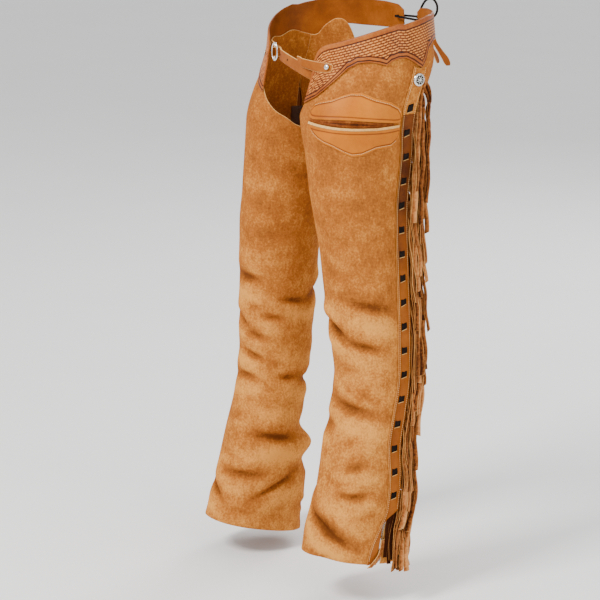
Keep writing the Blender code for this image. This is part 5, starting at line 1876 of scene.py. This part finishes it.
@dataclass
class HemZip:
    """The zip at the hem's opening: woven tape, metal teeth, slider and thong."""

    form: LegForm
    top: float = -0.110
    teeth_top: float = -0.770
    tape_turn: float = 9.0
    inside: float = -0.0038
    tape_thick: float = 0.0010
    tooth_pitch: float = 0.0026
    slider_level: float = -0.818
    thong: float = 0.0018
    pull: tuple[PullStation, ...] = (
        PullStation(-0.026, -0.036, 0.0086, 0.0094), PullStation(-0.016, -0.028, 0.0080, 0.0090),
        PullStation(-0.006, -0.018, 0.0066, 0.0086), PullStation(0.000, -0.006, 0.0040, 0.0081),
        PullStation(0.000, 0.006, 0.0037, 0.0081),
    )

    def near(self, across: np.ndarray | float, z: np.ndarray | float, out: np.ndarray | float) -> np.ndarray:
        """Points off the leg's face, measured round from the seam in metres."""
        across, z = np.broadcast_arrays(np.asarray(across, float), np.asarray(z, float))
        turn = np.degrees(across / self.form.column("b", z))
        return self.form.point(self.form.seam(z) + turn, z, out)

    def bottom(self) -> float:
        """Height of the zip's lower end."""
        return float(self.form.hem(self.form.seam(np.array([-0.86])))[0]) + 0.004

    def tape(self) -> tuple[bpy.types.Object, np.ndarray]:
        """The tape behind the opening.

        Returns:
            The piece and its face grid.
        """
        form = self.form
        z = np.linspace(self.bottom(), self.top, 160)[:, None]
        turn = np.linspace(-self.tape_turn, self.tape_turn, 9)[None, :]
        face = form.point(form.seam(z) + turn, z + 0.0 * turn, self.inside)
        bench = Bench()
        shell(bench, face, self.tape_thick, form.sign, 0.0, (0, 0, 0))
        thing = bench.sew(form.name + "_woven_zip_tape", [ZIP_CLOTH])
        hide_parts(form.name + "_zip_tape")
        return thing, face

    def block(self, bench: Bench, s: tuple[float, float], z: tuple[float, float], out: tuple[float, float]) -> None:
        """A small block on the face with its outer side drawn in.

        Args:
            bench: where it goes.
            s: its sides from the seam.
            z: its lower and upper level.
            out: its back and front.
        """
        trim = 0.18
        ds, dz = (s[1] - s[0]) * trim, (z[1] - z[0]) * trim
        rings = [(s[0], s[1], z[0], z[1], out[0]), (s[0], s[1], z[0], z[1], out[1] * 0.7 + out[0] * 0.3),
                 (s[0] + ds, s[1] - ds, z[0] + dz, z[1] - dz, out[1])]
        points = []
        for a, b, c, d, o in rings:
            points += [self.near(a, c, o), self.near(b, c, o), self.near(b, d, o), self.near(a, d, o)]
        faces = [(i * 4 + k, i * 4 + (k + 1) % 4, (i + 1) * 4 + (k + 1) % 4, (i + 1) * 4 + k)
                 for i in range(2) for k in range(4)]
        faces += [(3, 2, 1, 0), (8, 9, 10, 11)]
        if self.form.sign < 0:
            faces = [f[::-1] for f in faces]
        bench.add(np.array(points), faces, 0, 0.1, True)

    def teeth(self) -> bpy.types.Object:
        """Two interlocking rows of teeth below the band.

        Returns:
            The joined piece.
        """
        bench = Bench()
        count = int((self.teeth_top - self.bottom()) / self.tooth_pitch)
        for i in range(count):
            z = self.bottom() + self.tooth_pitch * (i + 0.5)
            if abs(z - self.slider_level) < 0.012:
                continue
            for way, step in ((-1.0, 0.0), (1.0, self.tooth_pitch / 2.0)):
                spread = 0.0009 if z < self.slider_level else 0.0
                sides = sorted((way * (spread - 0.0004), way * (spread + 0.0026)))
                self.block(bench, tuple(sides), (z + step - 0.0009, z + step + 0.0009), (-0.0036, 0.0002))
        return bench.sew(self.form.name + "_zip_teeth", [SILVER])

    def slider(self) -> bpy.types.Object:
        """The slider's body and its bridge.

        Returns:
            The piece.
        """
        bench = Bench()
        level = self.slider_level
        self.block(bench, (-0.0034, 0.0034), (level - 0.0105, level + 0.0105), (-0.0030, 0.0012))
        self.block(bench, (-0.0014, 0.0014), (level - 0.0065, level + 0.0065), (0.0010, 0.0022))
        thing = bench.sew(self.form.name + "_zip_slider", [SILVER])
        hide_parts(self.form.name + "_slider")
        return thing

    def thong_pull(self) -> bpy.types.Object:
        """The leather thong through the slider.

        Returns:
            The piece.
        """
        keys = list(range(len(self.pull)))
        at = np.linspace(0, len(self.pull) - 1, 33)
        across, drop, out, wide = (stroke(keys, [getattr(p, f) for p in self.pull], at)[:, None]
                                   for f in ("across", "drop", "out", "wide"))
        spread = np.linspace(-0.5, 0.5, 7)[None, :]
        z = self.slider_level + drop + 0.0 * spread
        face = self.near(across + wide * spread, z, out + self.thong / 2.0 + 0.0 * spread)
        bench = Bench()
        shell(bench, face, self.thong, self.form.sign, 0.3)
        thing = bench.sew(self.form.name + "_zip_thong", [FRINGE_SUEDE, CUT_EDGE])
        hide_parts(self.form.name + "_zip_pull")
        return thing

    def build(self) -> list[bpy.types.Object]:
        """Build the zip.

        Returns:
            The pieces.
        """
        tape, face = self.tape()
        declare_sheet(tape, face)
        return [tape, self.teeth(), self.slider(), self.thong_pull()]


@dataclass(frozen=True)
class TailStation:
    """A station of a thong tail from the knot's middle: place, half width and turn."""

    x: float
    y: float
    z: float
    half: float
    turn: float


@dataclass
class BackLacing:
    """The lace through both yokes behind, its knot, its loop and two thong tails."""

    radius: float = 0.0020
    level: float = 0.060
    angle: float = 308.0
    knot: tuple[float, float, float] = (0.0, 0.1420, 0.0600)
    knot_radius: float = 0.0065
    knot_tall: float = 1.1
    thong: float = 0.0018
    loop: tuple[tuple[float, float, float], ...] = (
        (0.002, 0.004, 0.019), (0.004, 0.012, 0.030), (0.006, 0.024, 0.031), (0.006, 0.033, 0.020),
        (0.005, 0.033, 0.006), (0.003, 0.024, -0.003), (0.001, 0.014, -0.0025), (0.001, 0.0070, -0.0005),
    )
    tail: tuple[TailStation, ...] = (
        TailStation(0.00255, 0.00447, -0.00377, 0.0016, 0.0), TailStation(0.0042, 0.0074, -0.0062, 0.0022, 0.2),
        TailStation(0.0062, 0.0140, -0.0110, 0.0032, 0.7), TailStation(0.0090, 0.0200, -0.0220, 0.0036, 1.0),
        TailStation(0.0120, 0.0240, -0.0420, 0.0036, 1.0), TailStation(0.0140, 0.0340, -0.0580, 0.0042, 1.0),
        TailStation(0.0160, 0.0440, -0.0720, 0.0055, 1.0), TailStation(0.0170, 0.0490, -0.0820, 0.0052, 1.0),
        TailStation(0.0175, 0.0510, -0.0870, 0.0030, 1.0),
    )
    at_knot: tuple[float, float, float] = (0.87, -0.49, 0.0)
    hanging: tuple[float, float, float] = (0.45, 0.89, 0.10)

    def tails(self) -> list[bpy.types.Object]:
        """The two thong tails, hanging free, with their lengths logged.

        Returns:
            The pieces.
        """
        made = []
        centre = np.array(self.knot)
        keys = list(range(len(self.tail)))
        at = np.linspace(0, len(self.tail) - 1, 49)
        for name, sign in (("left", 1.0), ("right", -1.0)):
            turn = np.interp(at, keys, [t.turn for t in self.tail])[:, None]
            across = np.array(self.at_knot) * (1.0 - turn) + np.array(self.hanging) * turn
            across = across * np.array([sign, 1.0, 1.0])
            across /= np.linalg.norm(across, axis=1, keepdims=True)
            middle = centre + smooth_path([(sign * t.x, t.y, t.z) for t in self.tail], 48)
            half = stroke(keys, [t.half for t in self.tail], at)
            spread = np.linspace(-1.0, 1.0, 7)[None, :, None]
            grid = middle[:, None, :] + across[:, None, :] * half[:, None, None] * spread
            lift = np.cross(np.broadcast_to(across[:, None, :], grid.shape), np.gradient(grid, axis=0))
            lift /= np.linalg.norm(lift, axis=2, keepdims=True)
            bench = Bench()
            shell(bench, grid - lift * self.thong / 2.0, self.thong, 1.0, 0.0)
            thing = bench.sew(name + "_lace_thong", [BAND, CUT_EDGE])
            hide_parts(name + "_lace_tail")
            steps = np.linalg.norm(np.diff(middle, axis=0), axis=1)
            float(steps.sum())
            LOG.info("%s: %.0f mm long", thing.name, steps.sum() * 1000)
            made.append(thing)
        return made

    def lace(self) -> bpy.types.Object:
        """The lace across the back, through both yokes."""
        hole = LEFT.spot(self.angle, self.level, 0.0021)
        out = LEFT.spot(self.angle, self.level, 0.0100)
        inner = LEFT.spot(self.angle, self.level, -0.0065)
        knot = Vector(self.knot)
        start = knot + Vector((self.knot_radius + 0.0007, 0.0, 0.0))
        route = [start, start + Vector((0.004, -0.0005, 0.0)), out, hole, inner,
                 Vector((inner.x * 0.5, inner.y - 0.001, self.level))]
        back = [Vector((-p.x, p.y, p.z)) for p in reversed(route)]
        middle = Vector((0.0, inner.y - 0.0012, self.level))
        path = smooth_path([tuple(p) for p in [*route, middle, *back]], 110)
        bench = Bench()
        ridges = 1.0 + 0.05 * np.sin(np.linspace(0.0, 260.0, len(path)))
        tube(bench, path, self.radius * ridges, 12)
        thing = bench.sew("back_lace_leather", [LACE_LEATHER])
        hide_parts("back_lace")
        return thing

    def bow(self) -> bpy.types.Object:
        """The loop that stands up from the knot."""
        centre = np.array(self.knot)
        off = self.knot_radius * self.knot_tall + 0.0010
        route = [tuple(centre + np.array([0.0, 0.0010, off]))] + [tuple(centre + np.array(p)) for p in self.loop]
        path = smooth_path(route, 70)
        bench = Bench()
        tube(bench, path, self.radius * (1.0 + 0.05 * np.sin(np.linspace(0.0, 160.0, len(path)))), 12)
        thing = bench.sew("lace_bow_loop", [LACE_LEATHER])
        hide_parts("lace_loop")
        return thing

    def hitch(self) -> bpy.types.Object:
        """The knot, wound from the lace itself."""
        centre = np.array(self.knot)
        t = np.linspace(0.0, 2.0 * math.pi, 97)
        size = 0.00150
        path = np.stack([(np.sin(t) + 2.0 * np.sin(2.0 * t)) * size, np.sin(3.0 * t) * size * 1.5,
                         (np.cos(t) - 2.0 * np.cos(2.0 * t)) * size * 1.05], axis=1) + centre
        bench = Bench()
        tube(bench, path, 0.0019, 12)
        core = np.array([centre + np.array([0.0, 0.0, z]) for z in (-0.003, 0.0, 0.003)])
        tube(bench, core, np.array([0.0022, 0.0034, 0.0022]), 12)
        thing = bench.sew("lace_wound_knot", [LACE_LEATHER])
        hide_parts("lace_knot")
        return thing


@dataclass
class Studio:
    """The pale floor, the soft lights and the camera at the photograph's angle."""

    floor_level: float = -0.925
    camera_place: tuple[float, float, float] = (3.4201, -2.0762, 0.53)
    camera_turn: tuple[float, float, float] = (76.4, 0.0, 60.0)
    lens: float = 138.0

    def camera(self) -> None:
        """Set the camera as the photograph was taken."""
        data = bpy.data.cameras.new("photo_camera")
        data.lens = self.lens
        data.sensor_width = 36.0
        data.clip_end = 50.0
        camera = bpy.data.objects.new("photo_camera", data)
        camera.location = self.camera_place
        camera.rotation_euler = [math.radians(a) for a in self.camera_turn]
        bpy.context.scene.collection.objects.link(camera)
        bpy.context.scene.camera = camera

    def light(self, name: str, place: tuple[float, float, float], size: float, power: float,
              tone: tuple[float, float, float]) -> None:
        """A soft square light aimed at the legs.

        Args:
            name: its name.
            place: where it stands.
            size: its side.
            power: in watts.
            tone: its colour.
        """
        data = bpy.data.lights.new(name, "AREA")
        data.size = size
        data.energy = power
        data.color = tone
        lamp = bpy.data.objects.new(name, data)
        lamp.location = place
        aim = Vector((0.0, 0.0, -0.35)) - Vector(place)
        lamp.rotation_euler = aim.to_track_quat("-Z", "Y").to_euler()
        bpy.context.scene.collection.objects.link(lamp)

    def floor(self) -> None:
        """A plain pale floor under and behind the legs."""
        mesh = bpy.data.meshes.new("studio_floor")
        reach = 30.0
        z = self.floor_level
        mesh.from_pydata([(-reach, -reach, z), (reach, -reach, z), (reach, reach, z), (-reach, reach, z)], [],
                         [(0, 1, 2, 3)])
        bench = NodeBench("pale_floor")
        bench.join(bench.ramp(bench.noise(3.0), [(0.3, (0.93, 0.93, 0.93)), (0.7, (0.95, 0.95, 0.95))]),
                   bench.shader.inputs["Base Color"])
        bench.shader.inputs["Roughness"].default_value = 0.9
        mesh.materials.append(bench.material)
        floor = bpy.data.objects.new("studio_floor", mesh)
        bpy.context.scene.collection.objects.link(floor)

    def world(self) -> None:
        """An even pale sky."""
        world = bpy.data.worlds.new("pale_world")
        world.use_nodes = True
        sky = world.node_tree.nodes["Background"]
        sky.inputs["Color"].default_value = (1.0, 1.0, 1.0, 1.0)
        sky.inputs["Strength"].default_value = 0.92
        bpy.context.scene.world = world

    def build(self) -> None:
        """Set up the lights, the floor and the sky."""
        self.light("key_light", (0.4, -2.6, 2.2), 1.0, 145.0, (1.0, 0.98, 0.95))
        self.light("side_light", (3.2, 0.4, 0.9), 1.8, 45.0, (1.0, 0.99, 0.97))
        self.light("rim_light", (-1.6, 2.6, 1.5), 1.4, 60.0, (1.0, 1.0, 1.0))
        self.floor()
        self.world()


def dress_side(form: LegForm, seed: int) -> None:
    """Build everything on one leg.

    Args:
        form: the leg.
        seed: for its fringe and lacing.
    """
    leg, leg_face = SuedeLeg(form).build()
    yoke, yoke_face = TooledYoke(form).build()
    side = SideBand(form)
    flap, flap_face = side.flap()
    band, band_face = side.band()
    lacing = side.lacing(seed)
    thread = side.thread()
    fringe = Fringe(form).build(seed)
    LOG.info("%s: %s", form.name, ", ".join(t.name for t in (leg, yoke, flap, band, lacing, thread, fringe)))
    declare_sheet(leg, leg_face)
    declare_sheet(yoke, yoke_face)
    declare_sheet(flap, flap_face)
    declare_sheet(band, band_face)
    for piece in HemZip(form).build():
        LOG.info("%s", piece.name)


def main() -> None:
    """Build the scene: camera and cords first, then each leg, the pocket, the straps and the metal."""
    logging.basicConfig(level=logging.INFO, format="%(name)s: %(message)s")
    studio = Studio()
    studio.camera()
    lacing = BackLacing()
    for piece in [*lacing.tails(), lacing.lace(), lacing.bow(), lacing.hitch()]:
        LOG.info("%s", piece.name)
    for seed, form in enumerate((LEFT, RIGHT), start=11):
        dress_side(form, seed)
    for piece in [*Pocket(LEFT).build(), *FrontStraps().build(), *SilverTrim().build()]:
        LOG.info("%s", piece.name)
    studio.build()


if __name__ == "__main__":
    main()
